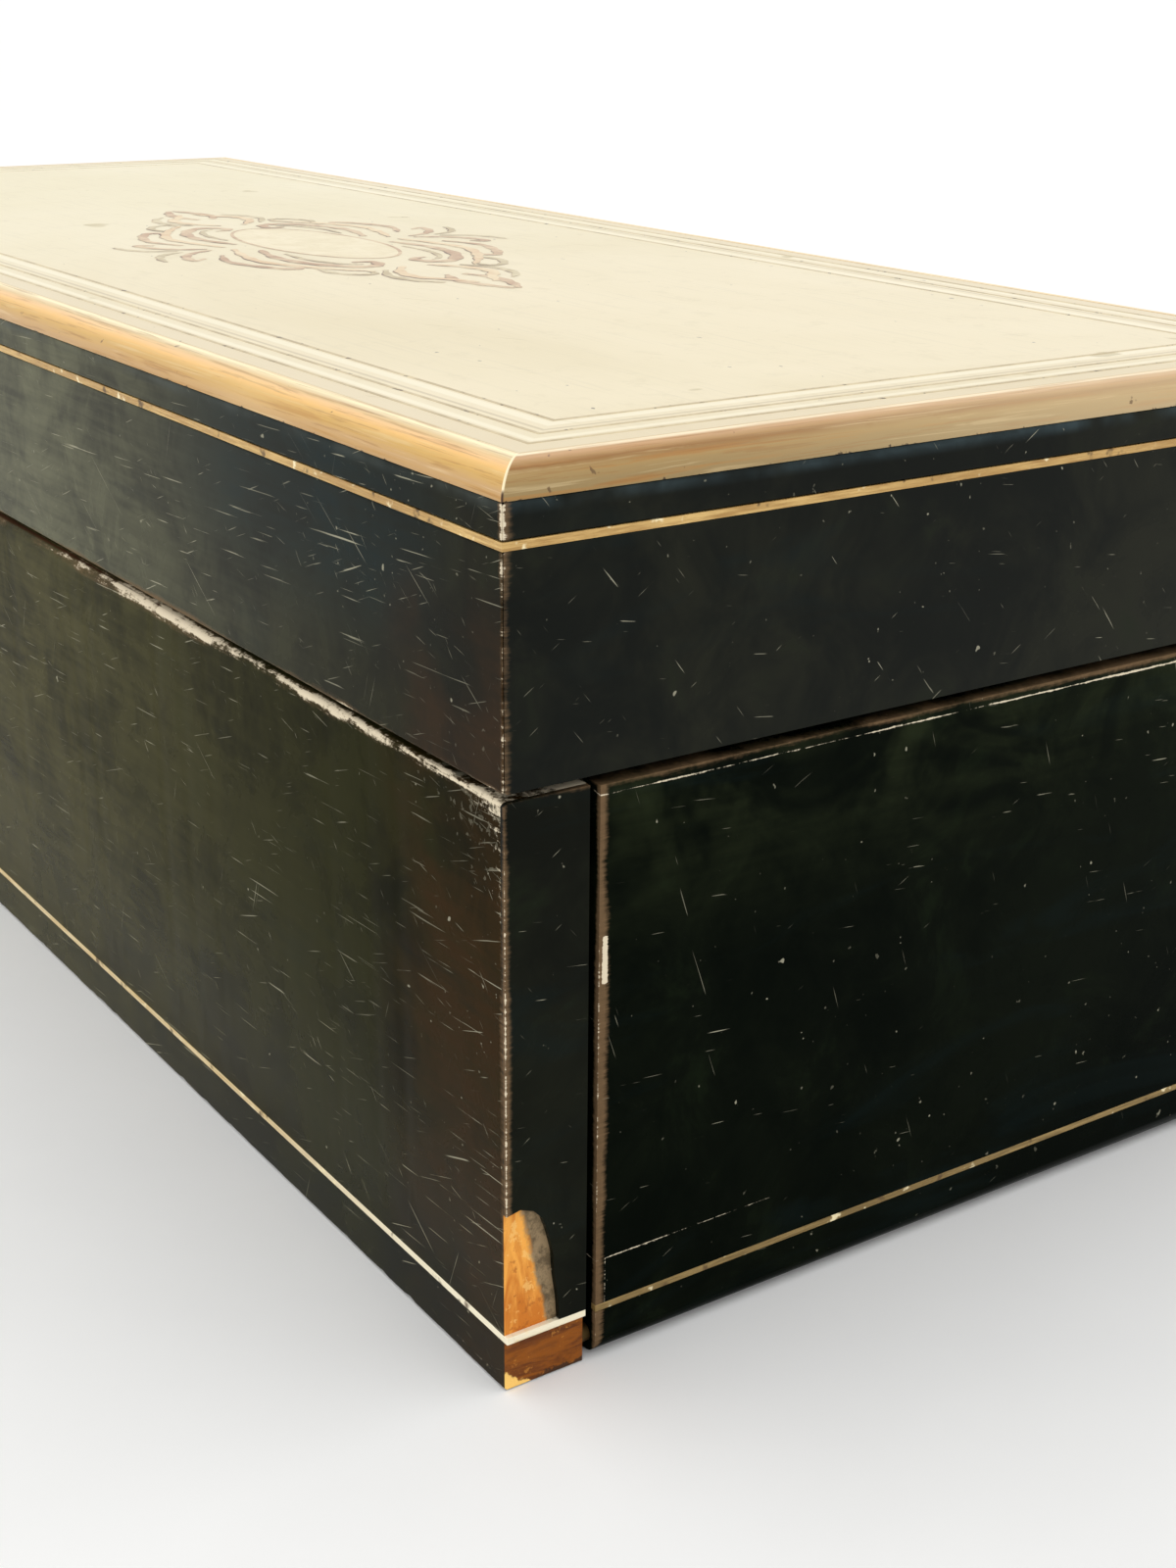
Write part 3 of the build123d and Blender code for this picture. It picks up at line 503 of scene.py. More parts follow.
def flap_edges(finish):
    """The near edge is rubbed brown with one bright sliver split from it, and
    the top edge has a brown rub with a thin white line below it.  A cut line
    runs level above the string and turns down beside the near edge."""
    from_near = finish.y - flap_near
    near = from_near + (half_long - finish.x) * 1.6
    top = (flap_top - finish.z) + (half_long - finish.x) * 0.2
    sliver = abs(from_near - 1.05) * 2.6 + abs(finish.z - sliver_z).rise(3.6, 4.4) * 9.0 - 0.8
    under_top = abs(top - 1.5) * 2.2 + 0.12
    level_cut = abs(finish.z - cut_z) * 2.6 + (from_near - 31.25).rise(0.0, 12.0) * 2.0
    down_cut = abs(from_near - 1.65) * 2.6 + abs(finish.z - (cut_z - 3.9)).rise(3.8, 4.2) * 5.0
    incised = level_cut.least(down_cut) + 0.25
    white = sliver.least(under_top).least(incised).least(near + 0.5)
    return (near - 0.6).least(top + 0.3), white


def flap_patina(finish):
    """Faint olive clouds toward the top."""
    return finish.z.rise(60.0, 94.0) * finish.cloud(40.0, 3.0, 0.6, 1.0).rise(0.4, 0.6) * 0.25


flap_strokes = (
    ((1.25, 0, 0), 60.0, 2600.0, 0.75),
    ((-0.5, 0, 0), 90.0, 2400.0, 0.755),
    ((0.1, 0, 0), 110.0, 2600.0, 0.75),
)
flap_black = lacquer("flap black polish", flap_edges, quiet, flap_strokes, 0.02,
                     (3, 7, 3), (10, 15, 7), ((flap_patina, (60, 68, 42)),))
soften("end_flap", 0.5 * MM, [flap_black])

# ---------------------------------------------------------------------------
# Inlaid lines: boxwood strings 1.2 mm wide let into grooves round the base,
# the flap and the lid.  They have yellowed, and lost chips here and there.
# ---------------------------------------------------------------------------


def boxwood(name, bright, dull, scoured=0.0):
    """scoured is how far the string is rubbed white near the front corner."""
    finish = Finish(name, IOR=1.45, Specular_IOR_Level=0.4)
    lengths = finish.cloud((140.0, 140.0, 2500.0), 4.0, 0.7)
    spots = finish.cloud(260.0, 3.0, 0.6)
    long_change = finish.cloud(18.0, 3.0, 0.6).rise(0.4, 0.65)
    colour = finish.blend(lengths.rise(0.3, 0.7), paint(*dull), paint(*bright))
    colour = finish.blend(long_change * 0.6, colour, paint(*dull))
    colour = finish.blend(finish.x.rise(130.0, 222.0) * scoured, colour, paint(255, 248, 222))
    colour = finish.blend(spots.rise(0.6, 0.7) * 0.85, colour, paint(84, 60, 30))
    colour = finish.blend(spots.fall(0.3, 0.38) * 0.9, colour, paint(252, 236, 190))
    return finish.set(colour, 0.3 + spots * 0.3, lengths - spots, 0.4, 0.0002)


pale_line = boxwood("base boxwood line", (240, 224, 182), (206, 174, 112), 0.8)
gold_line = boxwood("lid boxwood line", (226, 190, 120), (170, 130, 70))
dull_line = boxwood("flap boxwood line", (168, 140, 86), (112, 90, 46))
soften("base_strings", 0.12 * MM, [pale_line])
soften("lid_strings", 0.12 * MM, [gold_line])
soften("flap_string", 0.12 * MM, [dull_line])

# ---------------------------------------------------------------------------
# Lid rails: four black polished rails, mitre-veneered at the corners.  The
# near corner is worn along its edge, its white line partly a painted
# highlight, with brown showing beside it.
# ---------------------------------------------------------------------------


def lid_front_edges(finish):
    corner = (half_long - abs(finish.x)) + (half_deep - abs(finish.y))
    foot = (finish.z - lid_foot) + (half_deep - abs(finish.y))
    worn_foot = foot * 0.9 + finish.x.fall(120.0, 215.0) * 0.4 + 0.1
    return corner.least(foot + 0.2), (corner - 0.15).least(worn_foot)


def lid_end_edges(finish):
    """Brown beside the corner, and a bruise where the string meets it."""
    corner = (half_long - abs(finish.x)) * 2.0 + (half_deep - abs(finish.y))
    bruise = abs(finish.z - 130.8) * 0.35 + corner * 0.5
    return (corner * 0.7).least(bruise), (corner * 1.2 - 0.15).least(bruise)


def lid_thin(finish):
    """Brown where the polish is worn thin, low down by the near corner."""
    band = finish.x.rise(196.0, 214.0) * finish.z.fall(112.0, 126.0)
    return band * finish.cloud(34.0, 3.0, 0.6).rise(0.3, 0.5)


def lid_blue(finish):
    """A cold bluish bloom on the polish short of the near corner."""
    along = finish.x.rise(110.0, 165.0) * finish.x.fall(200.0, 226.0)
    return along * finish.z.rise(100.0, 124.0) * 0.9


def lid_busy(finish):
    return busy_right(finish) * 0.55


def reflection_under_moulding(finish):
    """A painted reflection: a cold grey glossy line close under the moulding."""
    return finish.z.rise(133.2, 135.0) * finish.cloud(50.0, 3.0, 0.6).rise(0.35, 0.6) * 0.8


lid_casts = (
    # painted sheen over the middle of the lid front
    (painted_sheen_middle, (104, 104, 80)),
    (lid_blue, (16, 32, 34)),
    (lid_thin, (48, 32, 14)),
    # the grey line under the moulding is a painted reflection
    (reflection_under_moulding, (66, 72, 68)),
)
lid_front_black = lacquer("lid front black polish", lid_front_edges, lid_busy, front_strokes, 0.04,
                          (18, 18, 8), (34, 34, 17), lid_casts)
lid_back_black = lacquer("lid back black polish", lid_front_edges, quiet, front_strokes, 0.12,
                         (18, 17, 10), (36, 34, 20))
lid_end_black = lacquer("lid end black polish", lid_end_edges, quiet, end_strokes, 0.08,
                        # the grey-blue line under the moulding is a painted reflection
                        (14, 17, 13), (31, 32, 23), ((reflection_under_moulding, (58, 72, 76)),))
soften("lid_front_rail", 0.45 * MM, [lid_front_black])
soften("lid_back_rail", 0.45 * MM, [lid_back_black])
soften("lid_end_rails", 0.45 * MM, [lid_end_black])

# ---------------------------------------------------------------------------
# Lid edge moulding: a rounded fruitwood strip, mitred at the corners, polished
# honey yellow.  Its grain runs lengthwise in pale and brown streaks.
# ---------------------------------------------------------------------------


def moulding_wood(name, inset_of, stretch, stops):
    """inset_of gives the distance in mm in from the lid's outer edge."""
    finish = Finish(name, IOR=1.45, Specular_IOR_Level=0.35)
    streaks = finish.cloud(stretch, 4.0, 0.6, 0.4)
    long_patches = finish.cloud(12.0, 3.0, 0.5)
    inset = inset_of(finish) + (streaks - 0.5) * 1.9
    colour = finish.ramp(inset / 7.0, stops)
    colour = finish.blend(streaks.rise(0.53, 0.66) * 0.5, colour, paint(172, 118, 54))
    colour = finish.blend(streaks.fall(0.34, 0.44) * 0.25, colour, paint(248, 222, 170))
    fine_lines = finish.cloud(tuple(2.0 * part for part in stretch), 3.0, 0.6).rise(0.57, 0.64)
    colour = finish.blend(fine_lines * 0.35, colour, paint(146, 98, 46))
    colour = finish.blend(long_patches.rise(0.5, 0.75) * 0.3, colour, paint(240, 204, 140))
    colour = finish.blend(finish.y.rise(-75.0, 40.0) * 0.4, colour, paint(232, 206, 162))
    scuffs = finish.cloud(330.0, 3.0, 0.6).rise(0.7, 0.74)
    colour = finish.blend(scuffs * 0.7, colour, paint(88, 60, 34))
    mitre = abs((half_long - abs(finish.x)) - (half_deep - abs(finish.y)))
    near_mitre = mitre.fall(0.1, 0.35)
    # high on the mitre the pale line is a painted highlight on the corner's crest; below it the dark line
    # is the open joint
    high = finish.z.rise(136.4, 137.2)
    colour = finish.blend(near_mitre * high, colour, paint(255, 238, 196))
    colour = finish.blend(near_mitre * (1 - high), colour, paint(70, 46, 26))
    chips = (finish.z + finish.cloud(330.0, 4.0, 0.7) * 3.2).fall(136.7, 136.9)
    colour = finish.blend(chips * 0.9, colour, paint(60, 44, 26))
    return finish.set(colour, 0.26 + streaks * 0.2, streaks, 0.25, 0.0002)


# colours across the round profile, outer edge first; the bright stop at 0.8, on the crest, is a painted
# highlight
long_stops = [
    (0.0, paint(196, 156, 104)),
    (0.14, paint(208, 166, 88)),
    (0.3, paint(238, 190, 112)),
    (0.44, paint(240, 196, 136)),
    (0.56, paint(222, 190, 132)),
    (0.68, paint(230, 210, 164)),
    (0.8, paint(255, 242, 194)),
    (0.9, paint(232, 210, 164)),
]
# the bright stop at 0.8, on the crest, is a painted highlight
end_stops = [
    (0.0, paint(152, 128, 84)),
    (0.18, paint(168, 138, 86)),
    (0.34, paint(146, 102, 44)),
    (0.46, paint(176, 136, 82)),
    (0.6, paint(200, 156, 108)),
    (0.7, paint(196, 154, 104)),
    (0.8, paint(255, 238, 200)),
    (0.9, paint(218, 192, 148)),
]


def inset_long(finish):
    return half_deep - abs(finish.y)


def inset_end(finish):
    return half_long - abs(finish.x)


long_wood = moulding_wood("long moulding wood", inset_long, (26.0, 900.0, 900.0), long_stops)
end_wood = moulding_wood("end moulding wood", inset_end, (900.0, 26.0, 900.0), end_stops)
soften("lid_long_mouldings", 0.15 * MM, [long_wood])
soften("lid_end_mouldings", 0.15 * MM, [end_wood])

# ---------------------------------------------------------------------------
# Top panel: ivory-coloured veneer, polished, with thin dark and pale lines let
# in round it.  The polish has greyed and has small dark specks and scratches.
# ---------------------------------------------------------------------------

panel_low, panel_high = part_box("lid_top_panel")
panel_top = panel_high.z - 0.04 * MM
ease = 0.3 * MM


def panel_ring(inset, z):
    x0, x1 = panel_low.x + inset, panel_high.x - inset
    y0, y1 = panel_low.y + inset, panel_high.y - inset
    return [(x0, y0, z), (x1, y0, z), (x1, y1, z), (x0, y1, z)]


ivory = Finish("ivory veneer", IOR=1.45, Specular_IOR_Level=0.3)
veneer_grain = ivory.cloud((30.0, 900.0, 30.0), 5.0, 0.65, 0.4)
veneer_cloud = ivory.cloud(7.0, 4.0, 0.6, 0.8)
inset = (half_long - abs(ivory.x)).least(half_deep - abs(ivory.y))
colour = ivory.blend(veneer_cloud.rise(0.3, 0.7), paint(229, 215, 178), paint(221, 207, 169))
colour = ivory.blend(ivory.x.fall(-160.0, 140.0) * 0.5, colour, paint(225, 217, 178))
colour = ivory.blend(veneer_grain.rise(0.5, 0.8) * 0.4, colour, paint(198, 186, 152))
soil = ivory.cloud(170.0, 4.0, 0.75, 0.3)
colour = ivory.blend(soil.rise(0.54, 0.7) * 0.3, colour, paint(204, 190, 150))
outer_band = inset.fall(10.4, 11.0)
colour = ivory.blend(outer_band * 0.6, colour, paint(216, 198, 160))
bright_line = abs(inset - 20.8).fall(0.7, 1.3).most(abs(inset - 12.9).fall(0.4, 0.9))
colour = ivory.blend(bright_line * 0.55, colour, paint(244, 236, 208))
faint_line = abs(inset - 17.8).fall(0.2, 0.5)
colour = ivory.blend(faint_line * 0.5, colour, paint(170, 148, 106))
dark_specks = ivory.cloud((300.0, 520.0, 300.0), 2.0, 0.5).rise(0.755, 0.775)
colour = ivory.blend(dark_specks * 0.85, colour, paint(96, 80, 54))
hairlines = scratches(ivory, (0, 0, 0.5), 70.0, 1400.0, 0.72).most(
    ivory.cloud((60.0, 1500.0, 60.0), 2.0, 0.5, 0.0, (0, 0, -0.45)).rise(0.73, 0.78))
colour = ivory.blend(hairlines * 0.45, colour, paint(170, 156, 122))
underside = ivory.z.fall(135.6, 136.0)
under_wood = ivory.blend(veneer_grain.rise(0.35, 0.65), paint(112, 74, 46), paint(76, 48, 29))
colour = ivory.blend(underside, colour, under_wood)
ivory_roughness = 0.22 + veneer_cloud * 0.2 + hairlines * 0.2
ivory_finish = ivory.set(colour, ivory_roughness, veneer_grain - hairlines, 0.12, 0.0002)

points, faces = loft([
    panel_ring(0.0, panel_low.z),
    panel_ring(0.0, panel_top - ease),
    panel_ring(ease, panel_top),
])
panel = build("lid_top_panel_veneered", points, faces, [ivory_finish],
              "lid", ["lid_top_panel"])
tidy(panel, 20)

line = Finish("dark inlaid line", IOR=1.45, Specular_IOR_Level=0.3)
worn = line.cloud(90.0, 4.0, 0.7)
fleck = line.cloud(420.0, 3.0, 0.6)
colour = line.blend(worn.rise(0.35, 0.65), paint(180, 160, 120), paint(214, 196, 156))
colour = line.blend(fleck.rise(0.62, 0.68), colour, paint(96, 78, 50))
soften("top_border_lines", 0.05 * MM, [line.set(colour, 0.3 + worn * 0.2, fleck, 0.2, 0.0001)])

# ---------------------------------------------------------------------------
# Marquetry medallion: an oval held in scrolled strapwork with leafy ends, cut
# from stained veneers and let in flush with the panel.  Each scroll lies on a
# brown outline strip shifted toward +X and the front, as painted shade along one side.
# ---------------------------------------------------------------------------

medal_x = 4.0 * MM
medal_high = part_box("marquetry_medallion")[1]


def stained(name, light, dark, shade):
    finish = Finish(name, IOR=1.45, Specular_IOR_Level=0.3)
    patches = finish.cloud(120.0, 4.0, 0.65, 0.6)
    grain = finish.cloud((200.0, 1400.0, 200.0), 4.0, 0.6)
    colour = finish.blend(patches.rise(0.36, 0.64), paint(*light), paint(*dark))
    colour = finish.blend(grain.rise(0.5, 0.75) * 0.45, colour, paint(*shade))
    return finish.set(colour, 0.28 + patches * 0.15, grain, 0.12, 0.0001)


outline_and_shade_wood = stained("medallion outline", (212, 190, 150), (116, 86, 60), (92, 68, 48))
mauve_wood = stained("mauve veneer", (214, 188, 148), (184, 148, 112), (142, 108, 80))
rose_wood = stained("rose veneer", (230, 210, 168), (216, 186, 144), (186, 150, 112))
moss_wood = stained("grey-green veneer", (214, 200, 160), (186, 168, 126), (140, 122, 90))
cream_wood = stained("cream veneer", (232, 219, 183), (225, 211, 173), (206, 190, 150))


def smooth_path(corners, steps=10):
    """A flowing line through the corners (Catmull-Rom)."""
    ends = [corners[0]] + list(corners) + [corners[-1]]
    path = []
    for i in range(1, len(ends) - 2):
        a, b, c, d = (Vector(ends[k]) for k in (i - 1, i, i + 1, i + 2))
        for step in range(steps):
            t = step / steps
            path.append(0.5 * (2 * b + (c - a) * t + (2 * a - 5 * b + 4 * c - d) * t * t
                               + (3 * b - a - 3 * c + d) * t * t * t))
    path.append(Vector(corners[-1]))
    return path


def ribbon(points, faces, corners, wide, side_x, side_y, z, sway, shift=(0.0, 0.0)):
    """A flat scroll that swells in the middle and ends in a point.  It rises
    by a micron along its length, so that a tight curl lies over itself."""
    path = smooth_path(corners)
    start = len(points)
    last = len(path) - 1
    for i, spot in enumerate(path):
        before, after = path[max(i - 1, 0)], path[min(i + 1, last)]
        along = (after - before).normalized()
        across = Vector((-along.y, along.x))
        swell = math.sin(math.pi * (0.06 + 0.9 * i / last)) ** 0.6
        half = wide * (swell + 0.16 * math.sin(i * 0.9 + sway)) / 2
        for hand in (-1, 1):
            edge = spot + across * half * hand
            stretch = 1.1 if side_x > 0 else 1.0
            x = medal_x + (side_x * edge.x * stretch + shift[0]) * MM
            y = (side_y * edge.y + shift[1]) * MM
            points.append((x, y, z + i / last * 0.001 * MM))
    for i in range(last):
        a = start + 2 * i
        faces.append((a, a + 1, a + 3, a + 2))


# one quarter of the strapwork, in mm from the middle; it is mirrored four ways
scrolls = [
    ([(6, 16.5), (18, 19.5), (30, 18), (39, 12), (39, 6.5), (34, 5), (32.5, 9)], 3.6, "mauve"),
    ([(2, 21), (12, 24), (23, 25.5), (33, 22), (41, 17), (47, 12)], 3.0, "rose"),
    ([(10, 28), (20, 31.5), (30, 29), (36, 25), (34, 22.5), (29, 24)], 2.8, "mauve"),
    ([(36, 19), (43, 21), (49, 18), (50, 14), (46, 13)], 2.4, "moss"),
    ([(43, 3), (50, 8), (58, 9), (64, 5), (70, 2)], 3.4, "rose"),
    ([(46, 9), (54, 13), (62, 12), (67, 8)], 2.4, "moss"),
    ([(58, 2), (66, 4.5), (74, 3), (80, 0.5)], 3.0, "mauve"),
    ([(1, 26), (4, 32), (9, 36), (15, 37), (13, 33.5)], 2.6, "mauve"),
    ([(1, 33), (4, 39), (9, 42), (14, 43)], 2.2, "moss"),
    ([(14, 14.8), (24, 15.2), (33, 12.5), (36.5, 8.5)], 1.7, "moss"),
]
woods = {"outline": outline_and_shade_wood, "mauve": mauve_wood, "rose": rose_wood, "moss": moss_wood}
skin = medal_high.z - 0.002 * MM
under = medal_high.z - 0.016 * MM
heaps = {wood: ([], []) for wood in woods}
for number, (corners, wide, wood) in enumerate(scrolls):
    for side_x in (-1, 1):
        for side_y in (-1, 1):
            sway = number * 1.7 + side_x + 2 * side_y
            level = skin - number * 0.0012 * MM
            # the outline strip is shifted (0.5, -0.5) mm so that it shows as painted shade along one side
            # of each scroll
            ribbon(*heaps["outline"], corners, wide * 0.85, side_x, side_y, under, sway, (0.5, -0.5))
            ribbon(*heaps[wood], corners, wide * 0.75, side_x, side_y, level, sway)


oval_steps = 96
oval_x, oval_y = 32.6, 13.6
half_ring = 0.45


def oval(half_x, half_y, z):
    points = []
    for i in range(oval_steps):
        a = 2 * math.pi * i / oval_steps
        points.append((medal_x + half_x * math.cos(a) * MM, half_y * math.sin(a) * MM, z))
    return points


points, faces = heaps["mauve"]
start = len(points)
points += oval(oval_x - half_ring, oval_y - half_ring, skin)
points += oval(oval_x + half_ring, oval_y + half_ring, skin)
for i in range(oval_steps):
    a = start + i
    b = start + (i + 1) % oval_steps
    faces.append((a, a + oval_steps, b + oval_steps, b))
build("medallion_field", oval(oval_x, oval_y, under), [tuple(range(oval_steps))], [cream_wood],
      "lid", ["marquetry_medallion"])
for wood, (points, faces) in heaps.items():
    build("medallion_" + wood, points, faces, [woods[wood]], "lid")

# ---------------------------------------------------------------------------
# Hinges, flap pins, striker and keyhole plate: cast and filed brass, a little
# tarnished, let into the wood flush and held with slotted screws.
# ---------------------------------------------------------------------------


def metal(name, bright, dull, roughness, brush=(60.0, 60.0, 60.0), stain=0.35):
    """Filed or turned metal.  brush is the scale of the tool marks."""
    finish = Finish(name, Metallic=1.0)
    tarnish = finish.cloud(45.0, 4.0, 0.6, 0.5)
    marks = finish.cloud(brush, 4.0, 0.7)
    colour = finish.blend(tarnish.rise(0.4, 0.75) * stain * 2, paint(*bright), paint(*dull))
    colour = finish.blend(marks.rise(0.5, 0.8) * 0.25, colour, paint(*dull))
    spots = finish.cloud(380.0, 3.0, 0.6).rise(0.68, 0.74)
    colour = finish.blend(spots * 0.6, colour, paint(70, 52, 30))
    roughness = roughness + marks * 0.18 + tarnish * 0.1 + spots * 0.3
    return finish.set(colour, roughness, marks - spots, 0.25, 0.0001)


brass = metal("filed brass", (214, 176, 96), (150, 112, 56), 0.2, (900.0, 60.0, 60.0))
for node in ("hinge_base_leaves", "hinge_lid_leaves", "hinge_pins"):
    soften(node, 0.12 * MM, [brass])
soften("lock_striker", 0.12 * MM, [brass])
soften("keyhole_plate", 0.1 * MM, [brass])
dark_brass = metal("flap pin brass", (92, 74, 44), (52, 42, 28), 0.4)
soften("flap_pivot_pins", 0.12 * MM, [dark_brass])

screw_steel = metal("blued screw steel", (108, 116, 140), (64, 66, 80), 0.22, (500.0, 500.0, 500.0))


def turned(points, faces, profile, x, y, z, axis, sides=40):
    """A turned shape: profile is (radius, along) in mm from the foot up."""
    start = len(points)
    for radius, along in profile:
        for i in range(sides):
            a = 2 * math.pi * i / sides
            u, v = radius * math.cos(a), radius * math.sin(a)
            place = {"z": (u, v, along), "x": (along, u, v), "y": (v, along, u)}[axis]
            points.append(((x + place[0]) * MM, (y + place[1]) * MM, (z + place[2]) * MM))
    for ring in range(len(profile) - 1):
        for i in range(sides):
            k = (i + 1) % sides
            a = start + ring * sides
            faces.append((a + i, a + k, a + sides + k, a + sides + i))
    faces.append(tuple(start + i for i in reversed(range(sides))))
    faces.append(tuple(start + (len(profile) - 1) * sides + i for i in range(sides)))


def slotted(points, faces, radius, high, x, y, z, turn, way=1):
    """A screw head with a sawn slot, from two half-round cheeks.
    way is 1 for a head that faces up, -1 for one that faces down."""
    half_slot = radius * 0.14
    for hand in (-1, 1):
        start = len(points)
        arc = []
        low_angle = math.asin(half_slot / radius)
        for i in range(17):
            a = low_angle + (math.pi - 2 * low_angle) * i / 16
            arc.append((radius * math.cos(a) * hand, radius * math.sin(a) * hand))
        count = len(arc)
        for shrink, rise in ((1.0, 0.0), (1.0, high * 0.75), (0.88, high)):
            for u, v in arc:
                px = x + shrink * (u * math.cos(turn) - v * math.sin(turn))
                py = y + shrink * (u * math.sin(turn) + v * math.cos(turn))
                points.append((px * MM, py * MM, (z + way * rise) * MM))
        for ring in range(2):
            for i in range(count):
                k = (i + 1) % count
                a = start + ring * count
                faces.append((a + i, a + k, a + count + k, a + count + i))
        faces.append(tuple(start + 2 * count + i for i in range(count)))
    turned(points, faces, [(radius * 0.97, 0.0), (radius * 0.97, way * high * 0.3)], x, y, z, "z", 32)


for body, leaf_z, way in (("case", base_top, 1), ("lid", lid_foot, -1)):
    points, faces = [], []
    for hinge_x in (-150, 150):
        for step in (-14, 0, 14):
            slotted(points, faces, 2.0, 0.2, hinge_x + step, 85.0, leaf_z, 0.6 + hinge_x + step * 0.7, way)
    tidy(build("hinge_screws_" + body, points, faces, [screw_steel], body))

# ---------------------------------------------------------------------------
# Lock: a steel case let into the front board behind the keyhole, with a bolt
# that slides through the striker's eye when the key turns.
# ---------------------------------------------------------------------------

steel = metal("ground steel", (196, 198, 200), (128, 128, 130), 0.22, (60.0, 1200.0, 60.0))
soften("lock_case", 0.2 * MM, [steel])
soften("lock_bolt", 0.15 * MM, [steel])

# ---------------------------------------------------------------------------
# Bottom board, bedplate battens, inner end board and key cradle: plain pine
# and beech, planed, stained brown and gone dusty.
# ---------------------------------------------------------------------------


def planed(name, light, dark, stretch):
    finish = Finish(name, IOR=1.45, Specular_IOR_Level=0.3)
    grain = finish.cloud(stretch, 5.0, 0.65, 0.8)
    broad = finish.cloud(12.0, 3.0, 0.5)
    colour = finish.blend(grain.rise(0.34, 0.68), paint(*light), paint(*dark))
    colour = finish.blend(broad.rise(0.5, 0.8) * 0.3, colour, paint(92, 60, 34))
    pores = finish.cloud(tuple(3 * part for part in stretch), 2.0, 0.5).rise(0.62, 0.7)
    colour = finish.blend(pores * 0.4, colour, paint(58, 36, 20))
    return finish.set(colour, 0.5 + grain * 0.25, grain - pores, 0.3, 0.0003)


pine = planed("stained pine", (150, 108, 66), (112, 76, 44), (22.0, 420.0, 420.0))
beech = planed("stained beech", (132, 88, 54), (98, 62, 38), (420.0, 24.0, 420.0))
soften("bottom_board", 0.3 * MM, [pine])
soften("bedplate_battens", 0.3 * MM, [pine])
soften("inner_end_board", 0.4 * MM, [beech])
soften("key_cradle", 0.4 * MM, [beech])

# ---------------------------------------------------------------------------
# Bedplate and the bridges that stand on it: brass, filed flat along its
# length and lacquered, held down by slotted steel screws.
# ---------------------------------------------------------------------------

bed_brass = metal("bedplate brass", (206, 166, 88), (146, 108, 54), 0.22, (30.0, 1500.0, 60.0), 0.5)
cast_brass = metal("cast brass", (200, 160, 84), (136, 100, 50), 0.26, (300.0, 300.0, 300.0), 0.5)
soften("bedplate", 0.4 * MM, [bed_brass])
for node in ("cylinder_bridges", "barrel_bridge_left", "barrel_bridge_right", "lever_bracket"):
    soften(node, 0.4 * MM, [cast_brass])
for node in ("bedplate_screws", "bridge_screws", "governor_screws", "lever_screws",
             "click_screw_and_spring"):
    soften(node, 0.15 * MM, [screw_steel])

# ---------------------------------------------------------------------------
# Pinned cylinder: a brass tube turned smooth and ruled with fine rings, with
# rows of steel pins standing out of it, one row of places for each tooth.
# ---------------------------------------------------------------------------

cylinder_y, cylinder_z = 14.0, 60.0
cylinder_radius = 23.0
comb_low, comb_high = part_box("comb")
teeth = 68
tooth_pitch = (comb_high.x - comb_low.x) / MM / teeth
cylinder_brass = metal("cylinder brass", (212, 176, 100), (162, 124, 64), 0.18, (2600.0, 20.0, 20.0), 0.4)
soften("cylinder_shell", 0.2 * MM, [cylinder_brass])
soften("cylinder_end_caps", 0.2 * MM, [cylinder_brass])

pin_steel = metal("pin steel", (96, 94, 92), (58, 56, 52), 0.3)
music = random.Random(11)
points, faces = [], []
pin_high = 0.75
pin_half = 0.2
rows = 52
tunes = (-0.9, -0.6, -0.3, 0.0, 0.3, 0.6, 0.9)      # each tune's pins stand beside the last's
for tooth in range(teeth):
    for place in range(rows):
        if music.random() < 0.25:
            continue
        a = 2 * math.pi * (place + music.random()) / rows
        along = comb_low.x / MM + (tooth + 0.5) * tooth_pitch + music.choice(tunes)
        out = (math.cos(a), math.sin(a))
        side = (-math.sin(a), math.cos(a))
        start = len(points)
        for rise, half in ((-0.2, pin_half), (pin_high, pin_half * 0.7)):
            radius = cylinder_radius + rise
            for u, v in ((-1, -1), (1, -1), (1, 1), (-1, 1)):
                points.append((
                    (along + u * half) * MM,
                    (cylinder_y + radius * out[0] + v * half * side[0]) * MM,
                    (cylinder_z + radius * out[1] + v * half * side[1]) * MM,
                ))
        for i in range(4):
            k = (i + 1) % 4
            faces.append((start + i, start + k, start + 4 + k, start + 4 + i))
        faces.append((start + 4, start + 5, start + 6, start + 7))
        faces.append((start + 3, start + 2, start + 1, start))
tidy(build("cylinder_pins", points, faces, [pin_steel], "cylinder"), 30)

soften("cylinder_arbor", 0.2 * MM, [steel])
soften("cylinder_pinion", 0.08 * MM, [steel])
wheel_brass = metal("wheel brass", (216, 178, 98), (158, 120, 60), 0.2, (60.0, 700.0, 700.0), 0.4)
soften("cylinder_wheel", 0.08 * MM, [wheel_brass])

# ---------------------------------------------------------------------------
# Comb: one plate of hardened steel sawn into teeth, ground bright along its
# length, screwed down on a brass base that stands on three feet.
# ---------------------------------------------------------------------------

comb_steel = metal("comb steel", (206, 206, 204), (140, 136, 130), 0.16, (30.0, 900.0, 60.0), 0.3)
soften("comb", 0.06 * MM, [comb_steel])
soften("comb_base", 0.4 * MM, [cast_brass])
soften("comb_screws", 0.2 * MM, [screw_steel])

# ---------------------------------------------------------------------------
# Spring barrel and great wheel: a brass drum holding a blued steel spring, on
# a steel winding arbor whose square end takes the key, with ratchet and click.
# ---------------------------------------------------------------------------

